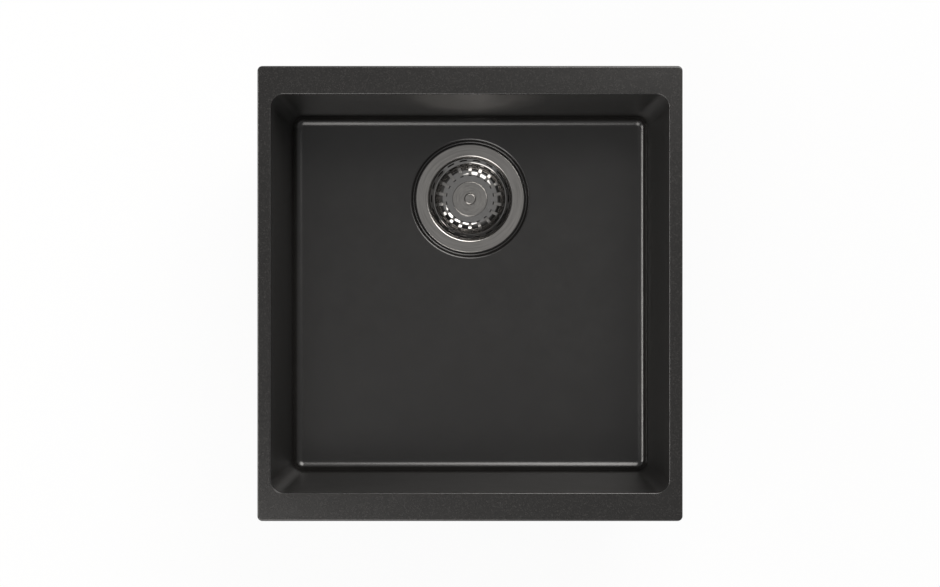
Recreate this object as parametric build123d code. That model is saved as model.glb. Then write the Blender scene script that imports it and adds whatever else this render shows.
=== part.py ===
from build123d import *
import os
from math import radians, tan

# Single-bowl kitchen sink moulded in granite composite, with its basket strainer waste and fixing clips.
# Millimetres, X to the right, Y to the back, Z up. The origin is the middle of the bowl opening at the
# height of the rim's underside, where the sink rests on a worktop.

# Bowl and rim
BOWL_WIDTH = 400.0  # opening at the rim's top, left to right
BOWL_LENGTH = 400.0  # opening at the rim's top, front to back
BOWL_DEPTH = 200.0  # from the rim's top to the floor at the drain
BOWL_CORNER_RADIUS = 13.0  # upright corners at the opening
BASE_CORNER_RADIUS = 12.0  # upright corners at the floor
DRAFT = 3.6  # lean of the walls, degrees
FLOOR_FALL = 0.7  # fall of the floor towards the drain, degrees
FLOOR_RADIUS = 11.0  # hollow between walls and floor
WALL = 7.0
FLOOR_THICKNESS = 10.0
UNDERSIDE_RADIUS = 16.0  # outside edge between walls and underside
SIDE_RIM = 13.5  # rim beside the bowl
END_RIM = 28.5  # rim in front of and behind the bowl
RIM_THICKNESS = 10.0
RIM_CORNER_RADIUS = 5.0
RIM_EDGE_RADIUS = 1.5
OPENING_EDGE_RADIUS = 1.2

# Drain in the bowl
DRAIN_SETBACK = 99.0  # from the opening's back edge to the drain's middle
DRAIN_HOLE_RADIUS = 45.0
RECESS_DEPTH = 3.5
RECESS_GAP = 1.5  # between the flange and the foot of the recess wall
RECESS_LEAN = 30.0  # recess wall from the upright, degrees
RECESS_EDGE_RADIUS = 5.0
RECESS_BASE_RADIUS = 1.5
DRAIN_PAD_LAP = 9.0  # flat pad under the floor, wider than the gasket
DRAIN_PAD_HEIGHT = 4.0
DRAIN_PAD_EDGE = 2.0

# Strainer flange and cup
FLANGE_LAP = 12.5  # flange beyond the drain hole
FLANGE_GASKET = 1.5
STRAINER_SHEET = 1.0
CUP_CLEARANCE = 0.8  # cup in the drain hole
LIP_BEND = 2.0  # inside bend radius from flange to cup
JOGGLE = 1.3  # step in the cup wall below the basket rim
JOGGLE_GAP = 1.0  # under the basket rim's edge
CUP_BEND_EXTRA = 1.0  # cup hollow larger than the basket's
SEAT_WIDTH = 3.9  # flat ring that the stopper closes on
THROAT_BEND = 1.0
SPIDER_THICKNESS = 2.0
SPOKE_WIDTH = 5.0
HUB_RADIUS = 9.0

# Strainer basket
BASKET_SHEET = 0.8
BASKET_DROP = 2.2  # basket rim's edge below the flange
BASKET_RIM_CLEARANCE = 0.65
BASKET_RIM_WIDTH = 5.35
BASKET_RIM_SLOPE = 25.0  # fall of the rim towards the basket, degrees
BASKET_RIM_BEND = 0.6
BASKET_STRAIGHT = 0.4  # upright part of the basket wall
BASKET_BEND = 13.0  # hollow between basket wall and bottom
SLOT_COUNT = 18
SLOT_WIDTH = 3.4
SLOT_CAP_GAP = 1.9  # from the cap to the slots
SLOT_WALL_GAP = 1.1  # from the slots to the inside of the basket wall
RIM_SLOT_LENGTH = 8.0
RIM_SLOT_WIDTH = 1.5
RIM_SLOT_EDGE = 0.9  # metal left outside the rim slots
CAP_MARGIN = 5.4  # flat ring of the basket bottom round the cap
CAP_THICKNESS = 1.2
CAP_EDGE = 0.9
KNOB_RADIUS = 6.2
KNOB_HEIGHT = 5.0
KNOB_NECK = 1.6  # neck height under the knob's head
KNOB_NECK_INSET = 2.0
KNOB_EDGE = 1.4
SEAL_PLATE_THICKNESS = 1.0
SEAL_PLATE_INSET = 1.0
SEAL_THICKNESS = 1.7
SEAL_LAP = 1.8  # stopper on its seat
SEAL_BOSS = 1.5  # middle of the stopper, standing down into the throat
SEAL_BOSS_GAP = 3.0
NUT_HEIGHT = 4.0
NUT_RADIUS = 4.6  # over the corners
STEM_RADIUS = 2.4
STEM_FIT = 0.05  # radial, stem in the pieces that it holds
STEM_REACH = 10.5  # stem inside the hollow screw when closed
STEM_TIP = 0.8
STEM_SOCKET = 3.4  # stem inside the knob
DETENT_WIRE = 1.1  # side of the ring's square section
DETENT_FIT = 0.05
DETENT_DROP = 4.0  # ring below the top of the screw

# Clamp screw and waste body
NUT_CLEARANCE = 3.0  # stem nut above the screw head
SCREW_HEAD_RADIUS = 6.5
SCREW_HEAD_HEIGHT = 4.5
SCREW_SLOT_WIDTH = 2.0
SCREW_SLOT_DEPTH = 1.8
SCREW_RADIUS = 4.0
SCREW_BORE_GAP = 0.3  # stem in the hollow screw
SCREW_BORE_SPARE = 4.0  # bore below the stem's tip
SCREW_HUB_GAP = 0.2  # screw in the spider's hub
SCREW_GRIP = 9.0  # screw inside the insert
THREAD_FIT = 0.05
INSERT_WALL = 1.6
INSERT_SPARE = 2.0  # insert longer than the grip
BOSS_GAP = 3.0  # between the spider and the boss
BOSS_WALL = 2.5
BOSS_FLOOR = 2.0
BODY_GASKET = 3.0
GASKET_INSET = 1.0  # gasket edges inside the flange edges
BODY_CLEARANCE = 1.0  # body wider than the drain hole
BODY_WALL = 3.0
BODY_FLANGE = 5.0
BODY_CUP_GAP = 2.5  # under the strainer cup
FUNNEL_HEIGHT = 28.0
OUTLET_RADIUS = 23.9
OUTLET_BORE_RADIUS = 20.0
OUTLET_LENGTH = 30.0
OUTLET_EDGE = 1.0
WEB_COUNT = 4
WEB_THICKNESS = 2.5
GUSSET_COUNT = 8
GUSSET_INSET = 2.0  # from the flange's edge

# Fixing clips on the front and back walls
CLIP_SPACING = 240.0  # left to right
CLIP_PAD_WIDTH = 28.0
CLIP_PAD_HEIGHT = 56.0
CLIP_PAD_TOP = 5.0  # below the rim's underside
CLIP_PAD_STAND = 2.0  # proud of the wall at the rim
CLIP_PAD_CORNER = 4.0
CLIP_PAD_ROOT = 1.0  # pad sunk into the wall at its lower end
BRACKET_SHEET = 1.5
BRACKET_BEND = 1.0
BRACKET_WIDTH = 22.0
BRACKET_HEIGHT = 50.0
BRACKET_TOP = 8.0  # below the rim's underside
EAR_MARGIN = 5.4  # ear beyond the clip screw
EAR_CORNER = 3.0
CLIP_SCREW_RADIUS = 2.5
CLIP_SCREW_GAP = 0.2
CLIP_SCREW_PLAY = 0.2  # along the screw, at the ears
CLIP_HEAD_RADIUS = 4.6  # over the corners
CLIP_HEAD_HEIGHT = 3.5
CLIP_END_RADIUS = 3.6  # peened end above the top ear
CLIP_END_HEIGHT = 1.2
CLAW_HUB_RADIUS = 4.6
CLAW_HUB_HEIGHT = 8.0
CLAW_CLEARANCE = 0.5  # hub from the bracket's back plate
CLAW_REST_GAP = 0.3  # hub above the bottom ear
CLAW_LENGTH = 34.0
CLAW_THICKNESS = 3.0
CLAW_TOOTH_HEIGHT = 4.0
CLAW_TOOTH_LENGTH = 3.0
CLAW_TIP_RADIUS = 2.0
FIXING_SPREAD = 14.0  # between the two fixing screws of a bracket
FIXING_DROP = 9.0  # below the bracket's top
FIXING_RADIUS = 2.0
FIXING_GAP = 0.2
FIXING_HEAD_RADIUS = 4.0  # over the corners
FIXING_HEAD_HEIGHT = 2.2
FIXING_SPARE = 1.0  # insert deeper than the screw
CLIP_INSERT_WALL = 1.2  # at the flats of the hexagon
CLIP_INSERT_COVER = 1.5  # wall left behind the insert
INSERT_FIT = 0.03

# Heights that follow from the sizes above
RIM_WIDTH = BOWL_WIDTH + 2 * SIDE_RIM
RIM_LENGTH = BOWL_LENGTH + 2 * END_RIM
LEAN = tan(radians(DRAFT))
FLOOR_Z = RIM_THICKNESS - BOWL_DEPTH
UNDERSIDE_Z = FLOOR_Z - FLOOR_THICKNESS
DRAIN_PAD_Z = UNDERSIDE_Z - DRAIN_PAD_HEIGHT
LEDGE_Z = FLOOR_Z - RECESS_DEPTH
FLANGE_Z = LEDGE_Z + FLANGE_GASKET + STRAINER_SHEET
BASKET_RIM_Z = FLANGE_Z - BASKET_DROP
BASKET_RIM_FOOT_Z = BASKET_RIM_Z - BASKET_RIM_WIDTH * tan(radians(BASKET_RIM_SLOPE))
BASKET_RIM_TURN = (BASKET_SHEET + BASKET_RIM_BEND) * tan(radians(90 - BASKET_RIM_SLOPE) / 2)
BASKET_FLOOR_Z = BASKET_RIM_FOOT_Z - BASKET_RIM_TURN - BASKET_STRAIGHT - BASKET_BEND
CAP_TOP_Z = BASKET_FLOOR_Z + CAP_THICKNESS
SEAL_PLATE_Z = BASKET_FLOOR_Z - BASKET_SHEET
SEAL_Z = SEAL_PLATE_Z - SEAL_PLATE_THICKNESS
SEAT_Z = SEAL_Z - SEAL_THICKNESS
NUT_Z = SEAT_Z - SEAL_BOSS
SCREW_TOP_Z = NUT_Z - NUT_HEIGHT - NUT_CLEARANCE
SPIDER_Z = SCREW_TOP_Z - SCREW_HEAD_HEIGHT
THROAT_END_Z = SPIDER_Z - SPIDER_THICKNESS
BOSS_Z = THROAT_END_Z - BOSS_GAP
BODY_Z = DRAIN_PAD_Z - BODY_GASKET
FUNNEL_Z = SEAT_Z - STRAINER_SHEET - BODY_CUP_GAP
FUNNEL_END_Z = FUNNEL_Z - FUNNEL_HEIGHT
OUTLET_END_Z = FUNNEL_END_Z - OUTLET_LENGTH

# Place of the drain and radii round it that follow from the sizes above
DRAIN_OFFSET = BOWL_LENGTH / 2 - DRAIN_SETBACK  # from the bowl's middle towards the back
FLANGE_RADIUS = DRAIN_HOLE_RADIUS + FLANGE_LAP
RECESS_RADIUS = FLANGE_RADIUS + RECESS_GAP
LIP_RADIUS = DRAIN_HOLE_RADIUS - CUP_CLEARANCE - STRAINER_SHEET
CUP_RADIUS = LIP_RADIUS - JOGGLE
CUP_BEND = BASKET_BEND + CUP_BEND_EXTRA
THROAT_LIP = STRAINER_SHEET + THROAT_BEND
THROAT_RADIUS = CUP_RADIUS - CUP_BEND - SEAT_WIDTH - THROAT_LIP
SEAL_RADIUS = THROAT_RADIUS + THROAT_LIP + SEAL_LAP
BASKET_RIM_RADIUS = LIP_RADIUS - BASKET_RIM_CLEARANCE
BASKET_RADIUS = BASKET_RIM_RADIUS - BASKET_RIM_WIDTH
CAP_RADIUS = BASKET_RADIUS - BASKET_BEND - CAP_MARGIN
STEM_HOLE_RADIUS = STEM_RADIUS + STEM_FIT
SCREW_BORE_RADIUS = STEM_RADIUS + SCREW_BORE_GAP
SCREW_INSERT_RADIUS = SCREW_RADIUS + THREAD_FIT + INSERT_WALL
BODY_RADIUS = DRAIN_HOLE_RADIUS + BODY_CLEARANCE
BOSS_RADIUS = SCREW_INSERT_RADIUS + BOSS_WALL

# Places of the clips that follow from the sizes above, measured outwards from the bowl's middle
CLIP_FACE = BOWL_LENGTH / 2 + WALL + CLIP_PAD_STAND
CLIP_AXIS = CLIP_FACE + BRACKET_SHEET + CLAW_CLEARANCE + CLAW_HUB_RADIUS
EAR_REACH = CLIP_AXIS - CLIP_FACE + EAR_MARGIN
BOTTOM_EAR_Z = -BRACKET_TOP - BRACKET_HEIGHT
CLAW_Z = BOTTOM_EAR_Z + BRACKET_SHEET + CLAW_REST_GAP
FIXING_Z = -BRACKET_TOP - FIXING_DROP
CLIP_INSERT_RADIUS = FIXING_RADIUS + THREAD_FIT + CLIP_INSERT_WALL
CLIP_INSERT_LENGTH = WALL + CLIP_PAD_STAND - CLIP_INSERT_COVER
CLIPS = {
    f"{end}_{side}": (x * CLIP_SPACING / 2, y)
    for end, y in (("front", -1), ("back", 1))
    for side, x in (("left", -1), ("right", 1))
}


def turned(outline):
    """Solid turned about Z from a closed outline of radius and height."""
    return revolve(Plane.XZ * make_face(outline), Axis.Z)


def pressed(points, bends, thickness):
    """Section of bent sheet: the path, and the same path a thickness to its left."""
    path = FilletPolyline(*points, radius=bends)
    return make_face(offset(path, amount=thickness, side=Side.LEFT))


def rod(radius, top, bottom):
    """Plain rod about Z."""
    return extrude(Pos(0, 0, bottom) * Circle(radius), top - bottom)


def ring(outer, inner, top, bottom):
    """Plain ring about Z."""
    return rod(outer, top, bottom) - rod(inner, top, bottom)


def drafted_block(width, length, top_corner, base_corner, top, base):
    """Block with leaning walls, whose width and length are measured at the rim's top."""

    def section(height, corner):
        inset = 2 * (RIM_THICKNESS - height) * LEAN
        return Pos(0, 0, height) * RectangleRounded(width - inset, length - inset, corner)

    return loft([section(top, top_corner), section(base, base_corner)], ruled=True)


def bowl_cavity():
    """Hollow of the bowl: leaning walls, a floor that falls to the drain as a wide cone, rounded between."""
    block = drafted_block(
        BOWL_WIDTH, BOWL_LENGTH, BOWL_CORNER_RADIUS, BASE_CORNER_RADIUS, 2 * RIM_THICKNESS, UNDERSIDE_Z
    )
    reach = BOWL_WIDTH + BOWL_LENGTH
    rise = reach * tan(radians(FLOOR_FALL))
    under_floor = turned(Polyline((0, 0), (reach, rise), (reach, -BOWL_DEPTH), (0, -BOWL_DEPTH), close=True))
    hollow = block - Pos(0, DRAIN_OFFSET, FLOOR_Z) * under_floor
    floor = hollow.faces().filter_by(GeomType.CONE)[0]
    return fillet([edge for edge in floor.edges() if edge.length > FLOOR_RADIUS / 2], FLOOR_RADIUS)


def drain_cut():
    """Hole for the strainer cup with the recess that sinks the flange into the floor."""
    over = FLOOR_Z + FLOOR_RADIUS
    under = DRAIN_PAD_Z - FLOOR_THICKNESS
    outline = FilletPolyline(
        (0, over),
        (RECESS_RADIUS + (over - LEDGE_Z) * tan(radians(RECESS_LEAN)), over),
        (RECESS_RADIUS, LEDGE_Z),
        (DRAIN_HOLE_RADIUS, LEDGE_Z),
        (DRAIN_HOLE_RADIUS, under),
        (0, under),
        radius=[0, 0, RECESS_BASE_RADIUS, 0, 0, 0],
        close=True,
    )
    return Pos(0, DRAIN_OFFSET, 0) * turned(outline)


def drain_pad():
    """Flat round pad under the floor that the waste body's gasket seals on."""
    height = DRAIN_PAD_HEIGHT + FLOOR_THICKNESS / 2
    pad = extrude(Pos(0, DRAIN_OFFSET, DRAIN_PAD_Z) * Circle(FLANGE_RADIUS + DRAIN_PAD_LAP), height)
    return chamfer(pad.edges().sort_by(Axis.Z)[0], DRAIN_PAD_EDGE)


def clip_place(x, y):
    """Frame of a clip: its Y points away from the bowl, and its X lies along the wall."""
    return Pos(x, 0, 0) * Rot(0, 0, 0 if y > 0 else 180)


def clip_pad():
    """Upright pad on the outside of the leaning wall, in a clip's frame."""
    middle = -CLIP_PAD_TOP - CLIP_PAD_HEIGHT / 2
    lean = (RIM_THICKNESS + CLIP_PAD_TOP + CLIP_PAD_HEIGHT) * LEAN
    depth = CLIP_PAD_STAND + lean + CLIP_PAD_ROOT
    sketch = Rot(90, 0, 0) * RectangleRounded(CLIP_PAD_WIDTH, CLIP_PAD_HEIGHT, CLIP_PAD_CORNER)
    return extrude(Pos(0, CLIP_FACE, middle) * sketch, depth)


def along_wall(shape):
    """Copies of a shape at the two fixing screws of a clip, turned to point into the wall."""
    places = [Pos(side * FIXING_SPREAD / 2, CLIP_FACE, FIXING_Z) for side in (-1, 1)]
    return [place * Rot(90, 0, 0) * shape for place in places]


def insert_outline(fit):
    """Hexagon of a clip's insert, a fit larger on every side."""
    return RegularPolygon(CLIP_INSERT_RADIUS + fit, 6, major_radius=False)


def sink_bowl():
    """Bowl, rim, clip pads and drain as one moulding."""
    rim = extrude(RectangleRounded(RIM_WIDTH, RIM_LENGTH, RIM_CORNER_RADIUS), RIM_THICKNESS)
    rim = fillet(rim.faces().sort_by(Axis.Z)[-1].edges(), RIM_EDGE_RADIUS)
    tub = drafted_block(
        BOWL_WIDTH + 2 * WALL,
        BOWL_LENGTH + 2 * WALL,
        BOWL_CORNER_RADIUS + WALL,
        BASE_CORNER_RADIUS + WALL,
        RIM_THICKNESS / 2,
        UNDERSIDE_Z,
    )
    tub = fillet(tub.faces().sort_by(Axis.Z)[0].edges(), UNDERSIDE_RADIUS)
    body = rim + tub + drain_pad() + [clip_place(*clip) * clip_pad() for clip in CLIPS.values()]
    body = body - bowl_cavity()
    opening = body.faces().sort_by(Axis.Z)[-1].inner_wires()[0]
    body = fillet(opening.edges(), OPENING_EDGE_RADIUS)
    hole = extrude(insert_outline(INSERT_FIT), CLIP_INSERT_LENGTH)
    holes = [clip_place(*clip) * shape for clip in CLIPS.values() for shape in along_wall(hole)]
    body = body - drain_cut() - holes
    circles = body.edges().filter_by(GeomType.CIRCLE)
    wide = ShapeList([edge for edge in circles if edge.radius > RECESS_RADIUS])
    return fillet(wide.sort_by(Axis.Z)[-1], RECESS_EDGE_RADIUS)


def strainer_flange():
    """Flange, stepped cup, stopper seat and throat pressed from one sheet, with a spider across the throat."""
    step = BASKET_RIM_Z - BASKET_SHEET - JOGGLE_GAP
    outline = pressed(
        [
            (FLANGE_RADIUS, FLANGE_Z),
            (LIP_RADIUS, FLANGE_Z),
            (LIP_RADIUS, step),
            (CUP_RADIUS, step - JOGGLE),
            (CUP_RADIUS, SEAT_Z),
            (THROAT_RADIUS, SEAT_Z),
            (THROAT_RADIUS, THROAT_END_Z),
        ],
        [STRAINER_SHEET + LIP_BEND, 0, 0, CUP_BEND, THROAT_LIP],
        STRAINER_SHEET,
    )
    cup = revolve(Plane.XZ * outline, Axis.Z)
    span = 2 * THROAT_RADIUS + STRAINER_SHEET
    cross = Rectangle(span, SPOKE_WIDTH) + Rectangle(SPOKE_WIDTH, span) + Circle(HUB_RADIUS)
    cross = cross - Circle(SCREW_RADIUS + SCREW_HUB_GAP)
    return cup + extrude(Pos(0, 0, THROAT_END_Z) * cross, SPIDER_THICKNESS)


def flange_gasket():
    """Flat ring under the flange, outside the bend into the cup."""
    inner = LIP_RADIUS + STRAINER_SHEET + LIP_BEND + GASKET_INSET
    return ring(FLANGE_RADIUS - GASKET_INSET, inner, LEDGE_Z + FLANGE_GASKET, LEDGE_Z)


def body_gasket():
    """Flat ring between the pad under the floor and the waste body."""
    return ring(FLANGE_RADIUS - GASKET_INSET, BODY_RADIUS + GASKET_INSET, DRAIN_PAD_Z, BODY_Z)


def waste_body():
    """Funnel with a top flange, an outlet spigot, outside gussets and a boss held by webs inside."""
    outside = BODY_RADIUS + BODY_WALL
    under = BODY_Z - BODY_FLANGE
    shell = turned(
        Polyline(
            (0, BODY_Z),
            (FLANGE_RADIUS, BODY_Z),
            (FLANGE_RADIUS, under),
            (outside, under),
            (outside, FUNNEL_Z),
            (OUTLET_RADIUS, FUNNEL_END_Z),
            (OUTLET_RADIUS, OUTLET_END_Z + OUTLET_EDGE),
            (OUTLET_RADIUS - OUTLET_EDGE, OUTLET_END_Z),
            (0, OUTLET_END_Z),
            close=True,
        )
    )
    hollow = turned(
        Polyline(
            (0, BODY_Z),
            (BODY_RADIUS, BODY_Z),
            (BODY_RADIUS, FUNNEL_Z),
            (OUTLET_BORE_RADIUS, FUNNEL_END_Z),
            (OUTLET_BORE_RADIUS, OUTLET_END_Z),
            (0, OUTLET_END_Z),
            close=True,
        )
    )
    boss_end = BOSS_Z - SCREW_GRIP - INSERT_SPARE - BOSS_FLOOR
    boss = rod(BOSS_RADIUS, BOSS_Z, boss_end)
    web = Pos(BODY_RADIUS / 2, 0, (BOSS_Z + boss_end) / 2) * Box(BODY_RADIUS, WEB_THICKNESS, BOSS_Z - boss_end)
    webs = [Rot(0, 0, 360 * (i + 0.5) / WEB_COUNT) * (web & hollow) for i in range(WEB_COUNT)]
    funnel_middle = ((outside + OUTLET_RADIUS) / 2, (FUNNEL_Z + FUNNEL_END_Z) / 2)
    fin = Polyline(
        (OUTLET_RADIUS, under),
        (FLANGE_RADIUS - GUSSET_INSET, under),
        funnel_middle,
        (OUTLET_RADIUS, funnel_middle[1]),
        close=True,
    )
    gusset = extrude(Plane.XZ * make_face(fin), WEB_THICKNESS / 2, both=True)
    gussets = [Rot(0, 0, 360 * i / GUSSET_COUNT) * gusset for i in range(GUSSET_COUNT)]
    seat = rod(SCREW_INSERT_RADIUS + INSERT_FIT, BOSS_Z, boss_end + BOSS_FLOOR)
    return shell + gussets - hollow + boss + webs - seat


def screw_insert():
    """Brass thread in the boss of the waste body."""
    bottom = BOSS_Z - SCREW_GRIP - INSERT_SPARE
    return ring(SCREW_INSERT_RADIUS, SCREW_RADIUS + THREAD_FIT, BOSS_Z, bottom)


def clamp_screw():
    """Slotted screw through the spider's hub, bored from the top for the basket's stem."""
    end = BOSS_Z - SCREW_GRIP
    bore_depth = STEM_REACH + SCREW_BORE_SPARE
    outline = Polyline(
        (0, SCREW_TOP_Z),
        (SCREW_HEAD_RADIUS, SCREW_TOP_Z),
        (SCREW_HEAD_RADIUS, SPIDER_Z),
        (SCREW_RADIUS, SPIDER_Z),
        (SCREW_RADIUS, end),
        (0, end),
        close=True,
    )
    bore = rod(SCREW_BORE_RADIUS, SCREW_TOP_Z, SCREW_TOP_Z - bore_depth)
    slot = Pos(0, 0, SCREW_TOP_Z) * Box(2 * SCREW_HEAD_RADIUS, SCREW_SLOT_WIDTH, 2 * SCREW_SLOT_DEPTH)
    return turned(outline) - bore - slot


def basket_cup():
    """Basket pressed from one sheet, with radial slots in its hollow and short slots round its rim."""
    outline = pressed(
        [
            (BASKET_RIM_RADIUS, BASKET_RIM_Z),
            (BASKET_RADIUS, BASKET_RIM_FOOT_Z),
            (BASKET_RADIUS, BASKET_FLOOR_Z),
            (STEM_HOLE_RADIUS, BASKET_FLOOR_Z),
        ],
        [BASKET_SHEET + BASKET_RIM_BEND, BASKET_BEND],
        BASKET_SHEET,
    )
    cup = revolve(Plane.XZ * outline, Axis.Z)
    inner = CAP_RADIUS + SLOT_CAP_GAP
    outer = BASKET_RADIUS - SLOT_WALL_GAP
    bottom = Pos(0, 0, SEAL_PLATE_Z - BASKET_SHEET)
    slot = Pos((inner + outer) / 2, 0, 0) * Rectangle(outer - inner, SLOT_WIDTH)
    slot = bottom * extrude(slot, BASKET_RIM_FOOT_Z - SEAL_PLATE_Z)
    radius = BASKET_RIM_RADIUS - RIM_SLOT_EDGE - RIM_SLOT_WIDTH / 2
    rim_slot = Pos(radius, 0, 0) * Rectangle(RIM_SLOT_WIDTH, RIM_SLOT_LENGTH)
    rim_slot = bottom * extrude(rim_slot, 2 * (BASKET_RIM_Z - SEAL_PLATE_Z))
    step = 360 / SLOT_COUNT
    slots = [Rot(0, 0, step * (i + 0.5)) * slot for i in range(SLOT_COUNT)]
    rim_slots = [Rot(0, 0, step * i) * rim_slot for i in range(SLOT_COUNT)]
    return cup - slots - rim_slots


def basket_cap():
    """Raised disc on the basket's bottom."""
    cap = ring(CAP_RADIUS, STEM_HOLE_RADIUS, CAP_TOP_Z, BASKET_FLOOR_Z)
    edge = cap.edges().filter_by(GeomType.CIRCLE).sort_by(SortBy.RADIUS)[-2:].sort_by(Axis.Z)[-1]
    return fillet(edge, CAP_EDGE)


def basket_knob():
    """Low button on a narrower neck, bored from below for the stem."""
    top = CAP_TOP_Z + KNOB_HEIGHT
    head = CAP_TOP_Z + KNOB_NECK
    neck = KNOB_RADIUS - KNOB_NECK_INSET
    socket = CAP_TOP_Z + STEM_SOCKET
    outline = FilletPolyline(
        (0, top),
        (KNOB_RADIUS, top),
        (KNOB_RADIUS, head),
        (neck, head),
        (neck, CAP_TOP_Z),
        (STEM_HOLE_RADIUS, CAP_TOP_Z),
        (STEM_HOLE_RADIUS, socket),
        (0, socket),
        radius=[0, KNOB_EDGE, 0, 0, 0, 0, 0, 0],
        close=True,
    )
    return turned(outline)


def basket_stem():
    """Pin from the knob down into the hollow screw, with a groove for the detent ring."""
    tip = SCREW_TOP_Z - STEM_REACH
    groove = SCREW_TOP_Z - DETENT_DROP
    groove_half = DETENT_WIRE / 2 + DETENT_FIT
    groove_radius = SCREW_BORE_RADIUS - 2 * groove_half
    outline = Polyline(
        (0, CAP_TOP_Z + STEM_SOCKET),
        (STEM_RADIUS, CAP_TOP_Z + STEM_SOCKET),
        (STEM_RADIUS, groove + groove_half),
        (groove_radius, groove + groove_half),
        (groove_radius, groove - groove_half),
        (STEM_RADIUS, groove - groove_half),
        (STEM_RADIUS, tip + STEM_TIP),
        (STEM_RADIUS - STEM_TIP, tip),
        (0, tip),
        close=True,
    )
    return turned(outline)


def detent_ring():
    """Rubber ring of square section in the stem's groove, just clear of the screw's bore."""
    outer = SCREW_BORE_RADIUS - DETENT_FIT
    middle = SCREW_TOP_Z - DETENT_DROP
    return ring(outer, outer - DETENT_WIRE, middle + DETENT_WIRE / 2, middle - DETENT_WIRE / 2)


def seal_plate():
    """Disc that backs the stopper."""
    return ring(SEAL_RADIUS - SEAL_PLATE_INSET, STEM_HOLE_RADIUS, SEAL_PLATE_Z, SEAL_Z)


def stopper_seal():
    """Rubber stopper: a flat lip on the seat and a thicker middle that stands into the throat."""
    outline = Polyline(
        (STEM_HOLE_RADIUS, SEAL_Z),
        (SEAL_RADIUS - SEAL_PLATE_INSET, SEAL_Z),
        (SEAL_RADIUS, SEAT_Z + SEAL_THICKNESS / 2),
        (SEAL_RADIUS, SEAT_Z),
        (THROAT_RADIUS - SEAL_BOSS_GAP, SEAT_Z),
        (THROAT_RADIUS - SEAL_BOSS_GAP - SEAL_BOSS, NUT_Z),
        (STEM_HOLE_RADIUS, NUT_Z),
        close=True,
    )
    return turned(outline)


def stem_nut():
    """Hexagon nut under the stopper."""
    sketch = RegularPolygon(NUT_RADIUS, 6) - Circle(STEM_HOLE_RADIUS)
    return extrude(Pos(0, 0, NUT_Z - NUT_HEIGHT) * sketch, NUT_HEIGHT)


def clip_insert():
    """Brass thread in a clip pad, along Z from the pad's face."""
    return extrude(insert_outline(0) - Circle(FIXING_RADIUS + THREAD_FIT), CLIP_INSERT_LENGTH)


def fixing_screw():
    """Hexagon-headed screw along Z, with its head on the bracket's back plate."""
    seat = -BRACKET_SHEET
    head = extrude(Pos(0, 0, seat) * RegularPolygon(FIXING_HEAD_RADIUS, 6), -FIXING_HEAD_HEIGHT)
    return head + rod(FIXING_RADIUS, CLIP_INSERT_LENGTH - FIXING_SPARE, seat)


def clip_bracket():
    """Sheet bent to a back plate on the pad with an ear at the top and at the bottom, in a clip's frame."""
    bend = BRACKET_SHEET + BRACKET_BEND
    far = CLIP_FACE + EAR_REACH
    section = pressed(
        [(far, -BRACKET_TOP), (CLIP_FACE, -BRACKET_TOP), (CLIP_FACE, BOTTOM_EAR_Z), (far, BOTTOM_EAR_Z)],
        [bend, bend],
        BRACKET_SHEET,
    )
    bracket = extrude(Plane.YZ * section, BRACKET_WIDTH / 2, both=True)
    corners = bracket.edges().filter_by(Axis.Z).group_by(Axis.Y)[-1]
    bracket = fillet(corners, EAR_CORNER)
    ear_hole = Pos(0, CLIP_AXIS, BOTTOM_EAR_Z) * Circle(CLIP_SCREW_RADIUS + CLIP_SCREW_GAP)
    plate_hole = extrude(Circle(FIXING_RADIUS + FIXING_GAP), BRACKET_SHEET, both=True)
    return bracket - extrude(ear_hole, BRACKET_HEIGHT) - along_wall(plate_hole)


def clip_screw():
    """Upright screw held between the ears by its hexagon head and a peened end, in a clip's frame."""
    head_top = BOTTOM_EAR_Z - CLIP_SCREW_PLAY
    end_bottom = -BRACKET_TOP + CLIP_SCREW_PLAY
    head = extrude(Pos(0, CLIP_AXIS, head_top) * RegularPolygon(CLIP_HEAD_RADIUS, 6), -CLIP_HEAD_HEIGHT)
    shank = extrude(Pos(0, CLIP_AXIS, head_top) * Circle(CLIP_SCREW_RADIUS), end_bottom - head_top)
    end = extrude(Pos(0, CLIP_AXIS, end_bottom) * Circle(CLIP_END_RADIUS), CLIP_END_HEIGHT)
    return head + shank + end


def clip_claw(turn):
    """Hub on the clip screw with an arm along the wall and a tooth at its tip, in a clip's frame."""
    top = CLAW_HUB_HEIGHT
    arm_bottom = top - CLAW_THICKNESS
    hub = extrude(Circle(CLAW_HUB_RADIUS), top)
    section = Polyline(
        (0, arm_bottom),
        (CLAW_LENGTH, arm_bottom),
        (CLAW_LENGTH, top + CLAW_TOOTH_HEIGHT),
        (CLAW_LENGTH - CLAW_TOOTH_LENGTH, top + CLAW_TOOTH_HEIGHT),
        (CLAW_LENGTH - CLAW_TOOTH_LENGTH, top),
        (0, top),
        close=True,
    )
    arm = extrude(Plane.XZ * make_face(section), CLAW_HUB_RADIUS, both=True)
    tip = arm.edges().filter_by(Axis.Z).group_by(Axis.X)[-1]
    arm = fillet(tip, CLAW_TIP_RADIUS)
    claw = hub + arm - extrude(Circle(CLIP_SCREW_RADIUS + THREAD_FIT), top)
    return Pos(0, CLIP_AXIS, CLAW_Z) * Rot(0, 0, turn) * claw


def waste_pieces():
    """Pieces round the drain, each about its own Z axis."""
    makers = (
        strainer_flange,
        flange_gasket,
        body_gasket,
        waste_body,
        screw_insert,
        clamp_screw,
        basket_cup,
        basket_cap,
        basket_knob,
        basket_stem,
        detent_ring,
        seal_plate,
        stopper_seal,
        stem_nut,
    )
    return {maker.__name__: Pos(0, DRAIN_OFFSET, 0) * maker() for maker in makers}


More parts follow.
